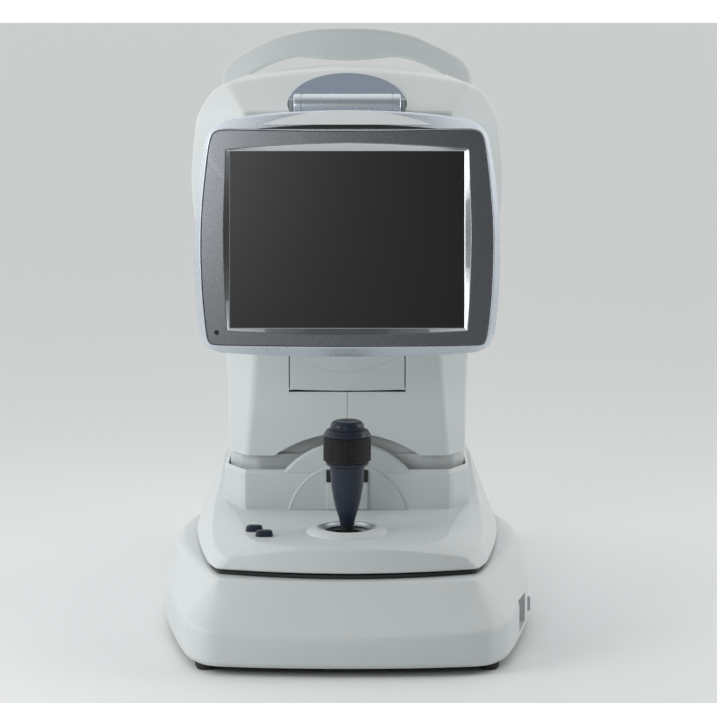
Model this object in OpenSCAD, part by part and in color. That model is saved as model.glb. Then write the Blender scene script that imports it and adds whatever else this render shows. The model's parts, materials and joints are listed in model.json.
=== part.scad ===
// Table-top eye-measuring instrument: a base with a face frame and chin rest, a stage that a
// joystick drives over the base, and a measuring head with a printer and a tilting display.
// X is to the operator's right, Y runs from the operator to the patient, Z is up.
// The origin is on the table, under the middle of the base.

/* [Base] */
// Width of the base at its widest
base_w = 286; // [284:1:288]
// Depth of the base, operator side to patient side
base_d = 504; // [502:1:506]
// Height of the base's top face above the table
base_top = 64; // [63.6:0.1:64.4]
// Thickness of the moulded covers
wall = 3; // [2.5:0.1:3]
// Diameter of a rubber foot
foot_d = 16; // [14:1:18]
// Height of a rubber foot
foot_h = 8; // [7.5:0.5:8]

/* [Moving stage] */
// Height of the deck around the joystick
deck_z = 87; // [86.8:0.1:87.2]
// Height of the top of the stage's tower
tower_top = 118.7; // [117.5:0.1:119]
// Travel of the stage to each side
travel_x = 43; // [20:1:43]
// Travel of the stage forwards and back
travel_y = 20; // [10:1:20]

/* [Head] */
// Width of the head at its widest
head_w = 245; // [243:1:247]
// Height of the head's ridge above the table
head_top = 430; // [429:0.5:430]
// Height of the measuring axis
axis_z = 340; // [338:1:342]
// Rise of the head from rest
lift_up = 27; // [20:1:27]
// Thickness of the head's covers
skin = 2.6; // [2.4:0.1:2.7]

/* [Display] */
// Width of the screen
screen_w = 172; // [170:1:172]
// Height of the screen
screen_h = 129.5; // [128:0.5:130]
// Lean of the display at rest
display_lean = 8; // [7:0.5:8.5]

/* [Joystick] */
// Distance of the joystick in front of the origin
stick_y = 158; // [156:1:159]
// Diameter of the knurled height ring
ring_d = 36; // [34:0.5:36]
// Height of the top of the measure button
button_top = 172; // [171:0.5:173]

/* [Face frame] */
// Height of the top of the forehead arch
arch_top = 457; // [455:1:458]
// Depth of the arch and posts
frame_d = 26; // [22:1:26]
// Travel of the chin rest
chin_travel = 60; // [40:1:60]

/* [Hidden] */
$fn = 64;
eps = 0.02;
layer_t = 0.5;

front = -base_d / 2;
rear = base_d / 2;
half_w = base_w / 2;
rear_half = 108;
run_gap = 0.05;

// Drive of the cross slide
tray_z = 40;
axle_y = -20;
tooth_module = 1.5;
pinion_teeth = 12;
pitch_r = tooth_module * pinion_teeth / 2;
tooth_pitch = PI * tooth_module;
rack_pitch_z = 46;
axle_z = rack_pitch_z + pitch_r + 0.15;
rod_z = 66;
rod_off = 22;
rod_d = 8;
pinion_x = 52;
plate_z = 74;
plate_t = 3.5;

// Tower, neck and head outlines: half-width of the front face, half-width of the sides
tower_front = -79;
rail_x = 45;
rail_y = 40;
rail_d = 12;
screw_d = 8;

// Joystick
sy = -stick_y;
pivot_z = 80;
pin_d = 3;

// Display
hinge_y = -131;
hinge_z = 405;
hinge_r = 9;
screen_y = -178;
screen_z = 310;

// Chin rest and face frame
frame_y = 187;
bow_r = 250;
bow_y = frame_y + bow_r;
chin_y = 208;
post_foot_z = base_top - 2;

// Printer
roll_y = -45;
roll_z = 206;
platen_y = -66;
platen_z = 226;
door_half = 45.2;
door_low = 181;
door_high = 226;
door_axis_y = -76.4;
door_axis_z = 182.6;

// ---------- outlines ----------

// A point between b and c on a smooth curve through a, b, c, d
function on_curve(a, b, c, d, t) =
    0.5 * (2 * b + (c - a) * t + (2 * a - 5 * b + 4 * c - d) * t * t
    + (3 * b - a - 3 * c + d) * t * t * t);

// A smooth open curve through the points
function smooth(p, steps = 4) = concat(
    [for (i = [0:len(p) - 2]) for (s = [0:steps - 1])
        on_curve(p[max(i - 1, 0)], p[i], p[i + 1], p[min(i + 2, len(p) - 1)], s / steps)],
    [p[len(p) - 1]]);

// A whole outline from its right half, which starts and ends off the middle line
function both_sides(half) =
    concat(half, [for (i = [len(half) - 1:-1:0]) [-half[i][0], half[i][1]]]);

// A whole outline from its right half, whose end points lie on the middle line
function closed_half(half) =
    concat(half, [for (i = [len(half) - 2:-1:1]) [-half[i][0], half[i][1]]]);

// An outline drawn in by d on every side of a shape of half-width hw between y0 and y1
function drawn_in(p, d, hw, y0, y1) = [for (q = p)
    [q[0] * (1 - d / hw), (q[1] - (y0 + y1) / 2) * (1 - 2 * d / (y1 - y0)) + (y0 + y1) / 2]];

// A thin slice of an outline at height z
module slice(p, z) { translate([0, 0, z]) linear_extrude(eps) polygon(p); }

// A layer of an outline, thick enough to join the next one
module layer(p, z) { translate([0, 0, z]) linear_extrude(layer_t) polygon(p); }

// Cylinders lying along X and along Y
module x_rod(d, x0, x1) { translate([x0, 0, 0]) rotate([0, 90, 0]) cylinder(d = d, h = x1 - x0); }
module y_rod(d, y0, y1) { translate([0, y0, 0]) rotate([-90, 0, 0]) cylinder(d = d, h = y1 - y0); }

// A box given by its two corners
module block(a, b) { translate(a) cube(b - a); }

// The same child on both sides of the middle
module both() { children(); mirror([1, 0, 0]) children(); }

// Places in the display's own frame: x right, y into the display, z up the screen
module on_display() {
    translate([0, screen_y, screen_z]) rotate([-display_lean, 0, 0]) children();
}

base_plan = closed_half(smooth([[0, front], [60, front + 2.5], [109, front + 10],
    [122, front + 42], [half_w * 0.925, -165], [half_w * 0.975, -118],
    [half_w * 0.9998, -68], [half_w * 0.985, -25], [132, 15], [116, 44], [90, 60], [0, 66]]));
shoulder_plan = closed_half(smooth([[0, front + 26], [60, front + 28], [99, front + 36],
    [113, -178], [126, -130], [half_w * 0.945, -85], [half_w * 0.958, -40],
    [half_w * 0.944, -10], [128, 20], [113, 40], [90, 56], [0, 62]]));
top_plan = drawn_in(shoulder_plan, 5, half_w, front + 26, 62);
rear_plan = [[-rear_half, 0], [rear_half, 0], [rear_half, rear - 26], [rear_half - 7, rear - 8],
    [rear_half - 24, rear], [24 - rear_half, rear], [7 - rear_half, rear - 8],
    [-rear_half, rear - 26]];
stage_plan = closed_half(smooth([[0, -217], [50, -212.5], [97, -199], [109, -150],
    [116, -100], [120, -43], [119, 17], [115, 70], [100, 102], [0, 108]], 3));
ridge_plan = closed_half(smooth([[0, -216], [48, -211.5], [89, -199], [99, -150],
    [106, -100], [109, -43], [109, 17], [106, 70], [94, 98], [0, 104]], 3));
crown_plan = closed_half([[0, -214.5], [36, -211.5], [62, -200], [76, -150], [79, -79],
    [79, 96], [0, 102]]);
tower_plan = both_sides([[80, tower_front], [97, -52], [97, 92], [82, 103]]);
sleeve_plan = both_sides([[70, -68], [84, -58], [93, -42], [93, 86], [78, 97]]);

// The display's outlines in its own frame
bezel_edge = closed_half([[0, 95.8], [34, 95], [63, 92.8], [95, 87.7], [102.7, 79.2], [106.2, 64],
    [109.6, 44], [112, 18], [112.9, -8], [112, -36], [110, -58], [107.4, -74], [104, -79.5],
    [98.5, -82], [60, -84.8], [0, -86.2]]);
face_edge = closed_half([[0, 80], [60, 80], [94, 79.8], [97.8, 78], [101.4, 64], [105, 40],
    [107.2, 16], [107.6, -8], [106.4, -36], [104.4, -58], [102.4, -70], [99.6, -75.4],
    [94, -77.4], [50, -78.4], [0, -78.6]]);

// Head outlines: half-width of the front, of the sides, and where front and rear lie
function head_plan(fw, sw, y0, yc, y1, d = 0) = both_sides([[fw - d * 0.4, y0 + d],
    [sw - d, yc], [sw - d, y1 - 12], [sw - 15 - d * 0.4, y1 - d]]);

// ---------- base ----------

module base_body(d) {
    hull() {
        slice(drawn_in(base_plan, d + 2, half_w, front, 66), foot_h - (d > 0 ? 1 : 0));
        slice(drawn_in(base_plan, d, half_w, front, 66), foot_h + 4);
        slice(drawn_in(base_plan, d + 0.6, half_w, front, 66), 31);
        slice(drawn_in(shoulder_plan, d, half_w, front + 26, 62), 58 - d * 0.4);
        slice(drawn_in(top_plan, d, half_w, front + 31, 57), base_top - d - eps);
    }
    hull() {
        slice(drawn_in(rear_plan, d + 1.5, rear_half, 0, rear), foot_h - (d > 0 ? 1 : 0));
        slice(drawn_in(rear_plan, d, rear_half, 0, rear), foot_h + 4);
        slice(drawn_in(rear_plan, d, rear_half, 0, rear), 54);
        slice(drawn_in(rear_plan, d + 5, rear_half, 0, rear), post_foot_z - d - eps);
    }
}

module base_cover() {
    color("#d4d9d8") difference() {
        base_body(0);
        base_body(wall);
        block([-74, -194, 30], [74, 60, 80]);
        block([117, -186, 13], [150, -139, 42]);
        block([-90, rear - 10, 14], [-24, rear + 5, 46]);
        translate([0, -100, 17]) x_rod(15, 125, 150);
        translate([0, chin_y, 40]) cylinder(d = 24, h = 40);
    }
}

module base_pan() {
    inner = drawn_in(base_plan, wall + 2.6, half_w, front, 66);
    inner_rear = drawn_in(rear_plan, wall + 2.1, rear_half, 0, rear);
    color("#3b3f42") difference() {
        union() {
            translate([0, 0, foot_h]) linear_extrude(3) polygon(inner);
            translate([0, 0, foot_h]) linear_extrude(3) polygon(inner_rear);
            block([118, -109, foot_h + 2], [128, -91, 25]);
        }
        translate([0, -100, 17]) x_rod(6 + 2 * run_gap, 110, 130);
        screw_places() translate([0, 0, 5]) cylinder(d = 4.2, h = 12);
        for (x = [-40:16:40]) block([x - 2.5, -60, 5], [x + 2.5, 0, 15]);
    }
}

module foot_places() {
    for (p = [[103.5, -224], [86, 226]]) both() translate([p[0], p[1], 0]) children();
}

module base_feet() {
    color("#222426") foot_places() {
        cylinder(d1 = foot_d - 2, d2 = foot_d, h = 2);
        translate([0, 0, 2]) cylinder(d = foot_d, h = foot_h - 2);
    }
}

module screw_places() {
    for (y = [-205, -125, 60, 236]) both() translate([76, y, 0]) children();
}

module base_screws() {
    color("#8f9499") screw_places() difference() {
        union() {
            translate([0, 0, foot_h - 2.2]) cylinder(d = 7.5, h = 2.2);
            translate([0, 0, foot_h - 1]) cylinder(d = 4, h = 7);
        }
        translate([0, 0, foot_h - 3]) cylinder(d = 3.4, h = 2, $fn = 6);
    }
}

module base_frame() {
    color("#9aa0a3") difference() {
        union() {
            block([-80, -198, tray_z - 4], [80, 64, 57]);
            for (y = [-196, -70, 52]) both() block([66, y, foot_h + 3], [78, y + 12, tray_z]);
        }
        block([-74, -194, tray_z], [74, 60, 70]);
        for (y = [-100:24:20]) block([-36, y, 20], [36, y + 12, 50]);
        screw_places() translate([0, 0, 5]) cylinder(d = 4.2, h = 12);
    }
}

module slide_racks() {
    rack_root = rack_pitch_z - 1.9;
    color("#b7bcc0") both() translate([pinion_x - 4, 0, 0]) {
        block([0, axle_y - 36, tray_z], [8, axle_y + 36, rack_root]);
        for (i = [-8:7]) translate([0, axle_y + (i + 0.5) * tooth_pitch, rack_pitch_z])
            rotate([90, 0, 90]) linear_extrude(8)
                polygon([[-1.5, -2], [1.5, -2], [0.95, 0], [0.45, 1.4], [-0.45, 1.4], [-0.95, 0]]);
    }
}

module friction_plate() {
    color("#4a4e52") block([-64, -192, tray_z], [64, -124, tray_z + 3]);
}

module port_panel() {
    color("#2b2e31") difference() {
        block([113, -190, 11], [117, -135, 44]);
        for (y = [-180, -164]) block([112, y, 20], [120, y + 13, 26]);
        block([112, -147, 18], [120, -141, 34]);
    }
}

module power_inlet() {
    color("#26282b") difference() {
        block([-90, rear - 30, 14], [-24, rear - 3, 46]);
        block([-60, rear - 18, 19], [-32, rear, 41]);
        block([-85.4, rear - 16, 19], [-72.6, rear, 41]);
        translate([0, rear - 8, 30]) x_rod(2 + 2 * run_gap, -88, -70);
    }
    color("#c8b560") for (p = [[-52, 27], [-46, 33], [-40, 27]])
        block([p[0] - 1, rear - 20, p[1] - 2], [p[0] + 1, rear - 8, p[1] + 2]);
}

module power_switch() {
    color("#1d1e20") translate([0, rear - 8, 30]) {
        translate([-84.9, 0, 0]) rotate([90, 0, 90]) linear_extrude(11.8)
            polygon([[-4, -6], [3.6, -9.6], [5.2, -9.6], [3.8, 0], [5.2, 9.6], [3.6, 9.6], [-4, 6]]);
        x_rod(2, -87.4, -70.6);
    }
}

module power_supply() {
    color("#8d9296") difference() {
        block([-62, 84, foot_h + 3], [62, 176, 50]);
        for (x = [-50:10:50]) block([x - 2, 100, 48], [x + 2, 160, 52]);
    }
}

module main_board() {
    color("#2f6b45") block([-60, -186, 15], [60, -76, 16.6]);
    color("#33363a") for (x = [-44:22:44]) block([x - 7, -150, 16.6], [x + 7, -128, 20]);
    color("#b9bdc0") both() block([44, -100, 16.6], [56, -84, 28]);
    color("#b9bdc0") for (y = [-182, -82]) both() translate([55, y, foot_h + 3]) cylinder(d = 5, h = 4);
}

module stage_lock_knob() {
    color("#9ea3a7") translate([0, -100, 17]) {
        x_rod(6, 116, 131);
        difference() {
            x_rod(11.6, 130, half_w - 0.4);
            block([half_w - 4, -8, -8], [half_w + 1, -2, 8]);
            block([half_w - 4, 2, -8], [half_w + 1, 8, 8]);
        }
    }
}

// ---------- chin rest and face frame ----------

module chin_motor() {
    color("#54585c") translate([0, chin_y, foot_h + 3]) cylinder(d = 28, h = 36);
}

module chin_screw() {
    color("#c3c7ca") translate([0, chin_y, 47.4]) cylinder(d = 6, h = 78);
}

module chinrest_column() {
    color("#d4d9d8") difference() {
        union() {
            translate([0, chin_y, post_foot_z]) linear_extrude(86)
                polygon(both_sides([[11, -21], [18, -19], [21, -12], [21, 12], [18, 19], [11, 21]]));
            translate([0, chin_y, post_foot_z]) cylinder(d = 58, h = 5);
        }
        translate([0, chin_y, 40]) cylinder(d = 24 + 2 * run_gap, h = 150);
    }
}

module chin_post() {
    color("#c3c7ca") translate([0, chin_y, 68]) difference() {
        cylinder(d = 24, h = 108);
        translate([0, 0, -1]) cylinder(d = 6 + 2 * run_gap, h = 20);
        translate([0, 0, 10]) cylinder(d = 10, h = 88);
    }
}

module chin_cup() {
    cup = both_sides(smooth([[2, -32], [26, -33], [42, -26], [46, -8], [40, 16], [24, 27],
        [2, 29]], 3));
    color("#e2e4e1") translate([0, chin_y, 176]) {
        difference() {
            linear_extrude(18) polygon(cup);
            translate([0, 8, 74]) sphere(r = 68, $fn = 96);
        }
        both() translate([36, -26.5, 10]) cylinder(d = 3, h = 17);
    }
}

frame_outer = smooth([[99, post_foot_z], [103.5, 200], [108, 330], [111, 408], [108.5, 421],
    [101, 429], [89, 436], [75, 443], [59, 450], [38, arch_top - 2.2], [15, arch_top - 0.2],
    [0, arch_top]], 3);
frame_inner = smooth([[0, 428.6], [22, 429.6], [44, 431.7], [66, 425], [84, 416], [93, 404],
    [94, 380], [91.5, 330], [87, 200], [83, post_foot_z]], 3);

// The curved wall that the arch and the posts are cut from, bowed round the patient's head
module bowed_wall(inner, outer) {
    translate([0, bow_y, post_foot_z]) difference() {
        cylinder(r = outer, h = arch_top, $fn = 256);
        translate([0, 0, -1]) cylinder(r = inner, h = arch_top + 2, $fn = 256);
    }
}

module frame_wall() {
    intersection() {
        translate([0, 260, 0]) rotate([90, 0, 0]) linear_extrude(80)
            polygon(concat(frame_outer, frame_inner));
        bowed_wall(bow_r - frame_d, bow_r);
    }
}

module face_frame() {
    color("#cfd5d4") both() {
        frame_wall();
        block([80, 199, post_foot_z], [101, 238, 70]);
    }
}

module forehead_pad() {
    pad = both_sides(smooth([[2, 431], [34, 432.5], [44, 436], [46, 442], [42, 449], [24, 453.5],
        [2, 454.5]], 3));
    color("#e8e9e6") intersection() {
        translate([0, 260, 0]) rotate([90, 0, 0]) linear_extrude(80) polygon(pad);
        bowed_wall(bow_r - frame_d - 6, bow_r - frame_d);
    }
}

module eye_level_marks() {
    color("#3d4246") both() difference() {
        block([91.2, 211, axis_z - 1], [95, 229, axis_z + 1]);
        frame_wall();
    }
}

// ---------- cross slide ----------

module carriage_yoke() {
    color("#7d8387") difference() {
        union() {
            both() block([58, axle_y - 30, 49], [65, axle_y + 30, 71.5]);
            block([-58, axle_y - 30, 49], [58, axle_y - 24, 57]);
        }
        translate([0, axle_y, axle_z]) x_rod(6 + 2 * run_gap, -80, 80);
        for (s = [-1, 1]) translate([0, axle_y + s * rod_off, rod_z]) x_rod(rod_d, -80, 80);
    }
}

module cross_rods() {
    color("#c9cdd0") for (s = [-1, 1])
        translate([0, axle_y + s * rod_off, rod_z]) x_rod(rod_d, -65.5, 65.5);
}

module pinion() {
    rotate([90, 0, 90]) linear_extrude(7, center = true) {
        circle(r = pitch_r - 1.9);
        for (i = [0:pinion_teeth - 1]) rotate(i * 360 / pinion_teeth)
            polygon([[-1.5, 6], [1.5, 6], [1.25, 7.6], [0.9, pitch_r], [0.4, pitch_r + 1.25],
                [-0.4, pitch_r + 1.25], [-0.9, pitch_r], [-1.25, 7.6]]);
    }
}

module pinion_axle() {
    color("#b0b5b9") translate([0, axle_y, axle_z]) {
        x_rod(6, -66.5, 66.5);
        for (s = [-1, 1]) translate([s * pinion_x, 0, 0]) pinion();
        for (s = [-1, 1]) translate([s * (pinion_x - 6.5), 0, 0]) x_rod(11, -3, 3);
    }
}

// ---------- stage ----------

module stage_plate() {
    color("#8e9498") difference() {
        union() {
            translate([0, 0, plate_z]) linear_extrude(plate_t)
                polygon(both_sides([[64, -188], [80, -172], [89, -100], [92, -40], [92, 60],
                    [80, 88]]));
            for (s = [-1, 1]) translate([0, axle_y + s * rod_off, 0])
                block([-14, -7, 60], [14, 7, plate_z + 1]);
        }
        for (s = [-1, 1]) translate([0, axle_y + s * rod_off, rod_z])
            x_rod(rod_d + 2 * run_gap, -20, 20);
        translate([0, sy, 60]) cylinder(r = 20, h = 30);
    }
}

module stage_shell(d) {
    hull() {
        slice(drawn_in(stage_plan, d, 120, -217, 108), 66 - (d > 0 ? 1 : 0));
        slice(drawn_in(ridge_plan, d, 109, -216, 104), 78 - d * 0.8);
        slice(drawn_in(crown_plan, d, 79, -214.5, 102), deck_z - d - eps);
    }
}

// A side fairing that sweeps up from the deck to the tower
module fairing() {
    module rib(y, low, high, top) {
        translate([0, y, 0]) rotate([90, 0, 0]) linear_extrude(eps)
            polygon([[94.4, 79], [low, 79], [high, top], [94.4, top]]);
    }
    hull() {
        rib(-58, 107.5, 106, 82.5);
        rib(2, 108.5, 104.5, 92);
        rib(40, 107.8, 102.5, 111.5);
    }
    hull() {
        rib(40, 107.8, 102.5, 111.5);
        rib(96, 97, 96, 112);
    }
}

module stage_cover() {
    inner_tower = drawn_in(tower_plan, wall - 0.3, 97, tower_front, 103);
    color("#d0d6d5") difference() {
        union() {
            difference() {
                stage_shell(0);
                stage_shell(wall);
            }
            both() fairing();
            translate([0, 0, deck_z - 2]) linear_extrude(tower_top - deck_z + 2) polygon(tower_plan);
            intersection() {
                translate([0, tower_front, 77]) y_rod(128, 0, 2.6);
                block([-60, tower_front, 100], [60, -70, 150]);
            }
        }
        translate([0, 0, 67]) linear_extrude(80) polygon(inner_tower);
        translate([0, sy, 70]) cylinder(r = 20, h = 30);
        for (p = chin_button_places) translate([p[0], p[1], 70]) button_outline(0.5, 30);
    }
}

chin_button_places = [[-70, -155], [-62, -172]];

// An oval prism that is grown by g on every side
module button_outline(g, h) {
    for (s = [-1, 1]) translate([s * 2.3, 0, 0]) cylinder(r = 4 + g, h = h, $fn = 32);
    translate([-2.3, -4 - g, 0]) cube([4.6, 8 + 2 * g, h]);
}

module chin_button(i) {
    color("#3e4658") translate([chin_button_places[i][0], chin_button_places[i][1], 0]) {
        translate([0, 0, 80.4]) button_outline(0, 9.4);
        translate([0, 0, 80.4]) button_outline(1.6, 1.4);
    }
}
module chin_up_button() { chin_button(0); }
module chin_down_button() { chin_button(1); }

module tower_insert() {
    color("#c6cccb") difference() {
        block([-16, tower_front - 1, deck_z], [16, tower_front, tower_top]);
        block([-12.5, tower_front - 2, 107], [12.5, tower_front + 1, 114]);
    }
}

module joystick_bezel() {
    color("#d9dddc") translate([0, sy, 0]) rotate_extrude()
        polygon([[16.2, deck_z], [30.5, deck_z], [29.8, deck_z + 0.8], [24, deck_z + 3.8],
            [22, deck_z + 4.5], [20.2, deck_z + 4.3], [18.2, deck_z + 1.6], [16.2, deck_z + 1.2]]);
}

module joystick_socket() {
    color("#5c6166") difference() {
        translate([0, sy, plate_z + plate_t]) difference() {
            cylinder(r = 25, h = 5.5);
            translate([0, 0, -1]) cylinder(r = 20, h = 10);
        }
        translate([0, sy, pivot_z]) x_rod(pin_d + 2 * run_gap, -30, 30);
    }
}

module gimbal_ring() {
    color("#33373b") translate([0, sy, pivot_z]) difference() {
        union() {
            translate([0, 0, -3]) cylinder(r = 17.5, h = 6);
            x_rod(pin_d, -24, 24);
        }
        translate([0, 0, -5]) cylinder(r = 14.5, h = 10);
        y_rod(pin_d + 2 * run_gap, -20, 20);
    }
}

module joystick_stick() {
    color("#26282c") translate([0, sy, 0]) {
        difference() {
            translate([0, 0, pivot_z - 6]) cylinder(d = 10, h = 22);
            translate([0, 0, 92]) difference() {
                cylinder(d = 12, h = 10);
                translate([0, 0, -1]) cylinder(d = 8, h = 12);
            }
        }
        translate([0, 0, 91]) cylinder(d = 8, h = 24);
        translate([0, 0, 51.5]) cylinder(d = 7, h = 24);
        translate([0, 0, tray_z + 11.5]) sphere(r = 8);
        translate([0, 0, pivot_z]) y_rod(pin_d, -17.4, 17.4);
    }
}

module joystick_grip() {
    swell = smooth([[5.4, 92], [5.75, 96], [7.5, 101], [9.5, 108.5], [10.85, 115.5], [12, 122],
        [12.85, 137.6]], 3);
    color("#3e4658") translate([0, sy, 0]) difference() {
        rotate_extrude() polygon(concat([[0, 92]], swell,
            [[15.2, 138.4], [16, 139], [16, 141], [12, 141], [12, 160.8], [0, 160.8]]));
        translate([0, 0, 90]) cylinder(d = 8, h = 25);
        translate([0, 0, 146]) cylinder(d = 6 + 2 * run_gap, h = 20);
    }
}

module height_ring() {
    color("#1f2123") translate([0, sy, 141.3]) difference() {
        cylinder(d = ring_d, h = 19.2);
        translate([0, 0, -1]) cylinder(r = 12 + run_gap, h = 22);
    }
}

module joystick_crown() {
    color("#444d60") translate([0, sy, 0]) difference() {
        rotate_extrude() polygon([[0, 160.8], [ring_d / 2 - 0.4, 160.8], [ring_d / 2, 161.6],
            [15.2, 165.4], [0, 165.4]]);
        translate([0, 0, 162]) cylinder(r = 13.1, h = 8);
        translate([0, 0, 155]) cylinder(d = 6 + 2 * run_gap, h = 12);
    }
}

module measure_button() {
    color("#4a5367") translate([0, sy, 0]) {
        translate([0, 0, 164.8]) cylinder(r = 12.75, h = button_top - 165.8);
        translate([0, 0, button_top - 1]) cylinder(r1 = 12.75, r2 = 11.4, h = 1, $fn = 64);
        translate([0, 0, 150]) cylinder(d = 6, h = 15);
    }
}

module lift_rails() {
    color("#c9cdd0") both() translate([rail_x, rail_y, plate_z + plate_t])
        cylinder(d = rail_d, h = 222);
}

module lift_motor() {
    color("#3f4347") translate([0, rail_y, plate_z + plate_t]) {
        block([-21, -21, 0], [21, 21, 33]);
        cylinder(d = 22, h = 35);
    }
}

module lead_screw() {
    color("#c3c7ca") translate([0, rail_y, plate_z + plate_t + 35.3])
        cylinder(d = screw_d, h = 178);
}

// ---------- head ----------

module neck_sleeve() {
    color("#c4cac9") difference() {
        translate([0, 0, 86]) linear_extrude(52) polygon(sleeve_plan);
        translate([0, 0, 80]) linear_extrude(70)
            polygon(drawn_in(sleeve_plan, 2.4, 93, -68, 97));
        // the sleeve ends inside the head's skin
        difference() {
            block([-120, -100, 129.8], [120, 120, 145]);
            translate([0, 0, 120]) linear_extrude(40)
                polygon(drawn_in(sleeve_plan, 2, 93, -68, 97));
        }
    }
}

module head_chassis() {
    color("#8e9498") difference() {
        union() {
            block([-64, -58, 178], [64, 84, 183]);
            block([-64, -58, 262], [64, 84, 267]);
            both() block([58, 0, 183], [64, 84, 262]);
            for (y = [-30, 70]) translate([0, y, 0]) block([-24, 0, 267], [24, 12, axis_z - 14]);
            both() translate([rail_x, rail_y, 168]) cylinder(d = 22, h = 106);
            translate([0, rail_y, 168]) cylinder(d = 20, h = 106);
        }
        both() translate([rail_x, rail_y, 160]) cylinder(d = rail_d + 2 * run_gap, h = 120);
        translate([0, rail_y, 160]) cylinder(d = screw_d + 2 * run_gap, h = 120);
        translate([0, 0, axis_z]) y_rod(56, -50, 100);
    }
}

module head_body(d) {
    hull() {
        layer(head_plan(79, 94, -78, -52, 100, d), 130 - (d > 0 ? 1 : 0));
        layer(head_plan(74.5, 94, -78, -52, 100, d), 180);
        layer(head_plan(72, 96, -78, -52, 102, d), 211);
        layer(head_plan(70.5, 98.5, -78, -52, 104, d), 232);
    }
    hull() {
        layer(head_plan(70.5, 98.5, -78, -52, 104, d), 232);
        layer(head_plan(75, 110, -112, -62, 132, d), 272);
    }
    hull() {
        layer(head_plan(75, 110, -112, -62, 132, d), 272);
        layer(head_plan(79, 118, -119, -62, 140, d), 304);
        layer(head_plan(80, head_w / 2, -121, -62, 140, d), 345);
        layer(head_plan(79, 117, -122, -62, 138, d), 392 - d);
        layer(head_plan(78, 113, -122, -60, 134, d), 400 - d);
        layer(head_plan(88, 108, -95, -56, 120, d), 411 - d);
        layer(both_sides([[77 - d, -68 + d], [77 - d, 84 - d]]), 422 - d);
        layer(both_sides([[45 - d, -57 + d], [45 - d, 72 - d]]), 427 - d);
        layer(both_sides([[14, -50 + d], [14, 60 - d]]), head_top - d - layer_t);
    }
}

module head_cover(side) {
    color("#ccd2d1") difference() {
        union() {
            difference() {
                head_body(0);
                head_body(skin);
            }
            block([side * 48 - 2.4, -77, 178.5], [side * 48 + 2.4, -72, 187]);
        }
        // the other half
        block([side > 0 ? -150 : -0.1, -150, 100], [side > 0 ? 0.1 : 150, 170, 450]);
        // arched cut-out over the tower
        translate([0, -100, 48.7]) y_rod(198.6, 0, 60);
        // printer bay
        block([-door_half - 0.4, -90, 180.1], [door_half + 0.4, -60, door_high + 0.5]);
        translate([0, door_axis_y, door_axis_z]) x_rod(2 + 2 * run_gap, -49, 49);
        // recess of the display hinge
        translate([0, -107, 380]) cylinder(r = 45, h = 60);
        block([-43.6, -130, 392], [43.6, -100, 440]);
        // measuring opening
        translate([0, 0, axis_z]) y_rod(62, 100, 160);
        // cooling slots
        for (z = [290:8:314]) both() block([60, 126, z], [84, 150, z + 3]);
    }
}
module head_cover_left() { head_cover(-1); }
module head_cover_right() { head_cover(1); }

module hinge_cover() {
    color("#67788a") difference() {
        intersection() {
            translate([0, -107, 385]) cylinder(r = 44.4, h = 60);
            rotate([90, 0, 90]) translate([0, 0, -60]) linear_extrude(120)
                polygon([[-117.5, 401.6], [-62, 423], [-62, 419], [-114.5, 399]]);
        }
        translate([0, hinge_y, hinge_z]) x_rod(2 * hinge_r + 2, -60, 60);
    }
}

module hinge_brackets() {
    color("#a8adb1") both() {
        block([40.4, hinge_y - 5, hinge_z - 9], [43.4, -118.7, hinge_z + 5]);
        block([40.4, -120, 391], [43.4, -60, 398.5]);
        translate([0, hinge_y, hinge_z]) x_rod(5, 32, 42);
    }
}

module optics_barrel() {
    color("#34373a") translate([0, 0, axis_z]) difference() {
        union() {
            y_rod(56, -58, 120);
            y_rod(60, 120, 137);
            x_rod(22, 0, 40);
        }
        y_rod(49, -54, 140);
        x_rod(16, 0, 50);
    }
}

module objective_lens() {
    color("#9fc4d8") translate([0, 0, axis_z]) intersection() {
        y_rod(48.8, 118, 134);
        translate([0, 66, 0]) sphere(r = 64, $fn = 96);
        translate([0, 178, 0]) sphere(r = 64, $fn = 96);
    }
}

module mire_ring() {
    color("#e4e8ea") translate([0, 0, axis_z]) difference() {
        y_rod(84, 141, 143.6);
        y_rod(54, 138, 148);
    }
    color("#f7f3da") translate([0, 0, axis_z]) for (a = [0:30:330]) rotate([0, a, 0])
        translate([34, 0, 0]) y_rod(5, 143.6, 146);
}

module nose_bezel() {
    color("#c9cfce") translate([0, 140.2, axis_z]) rotate([-90, 0, 0]) rotate_extrude()
        polygon([[26, 13], [26, 18.5], [30, 19.8], [42, 19.8], [49, 14], [50.5, 0], [47.5, 0],
            [46.5, 12], [40, 16.5], [31, 16.5], [30, 13]]);
    color("#8fb6c9") translate([0, 0, axis_z]) y_rod(52, 153.4, 155.4);
}

module camera_module() {
    color("#3a3e42") translate([0, 0, axis_z]) {
        block([-25, -88, -25], [25, -62, 25]);
        y_rod(48, -62, -58);
    }
}

module source_module() {
    color("#6b7176") translate([0, 0, axis_z]) {
        block([40, -26, -24], [78, 26, 24]);
        for (y = [-24:6:24]) block([78, y - 1, -22], [83, y + 1, 22]);
    }
}

module printer_body() {
    color("#d8dad6") difference() {
        block([-42, -72, 183], [42, -20, 234]);
        block([-31, -73, 186], [31, -24, 231]);
        translate([0, platen_y, platen_z]) x_rod(4 + 2 * run_gap, -40, 40);
    }
    color("#9a9fa3") translate([0, roll_y, roll_z]) x_rod(12, -31.5, 31.5);
}

module paper_roll() {
    color("#f2f1ec") translate([0, roll_y, roll_z]) difference() {
        x_rod(37, -28.5, 28.5);
        x_rod(12 + 2 * run_gap, -30, 30);
    }
}

module platen_roller() {
    color("#2a2c2e") translate([0, platen_y, platen_z]) {
        x_rod(8, -29, 29);
        x_rod(4, -36, 36);
    }
}

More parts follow.
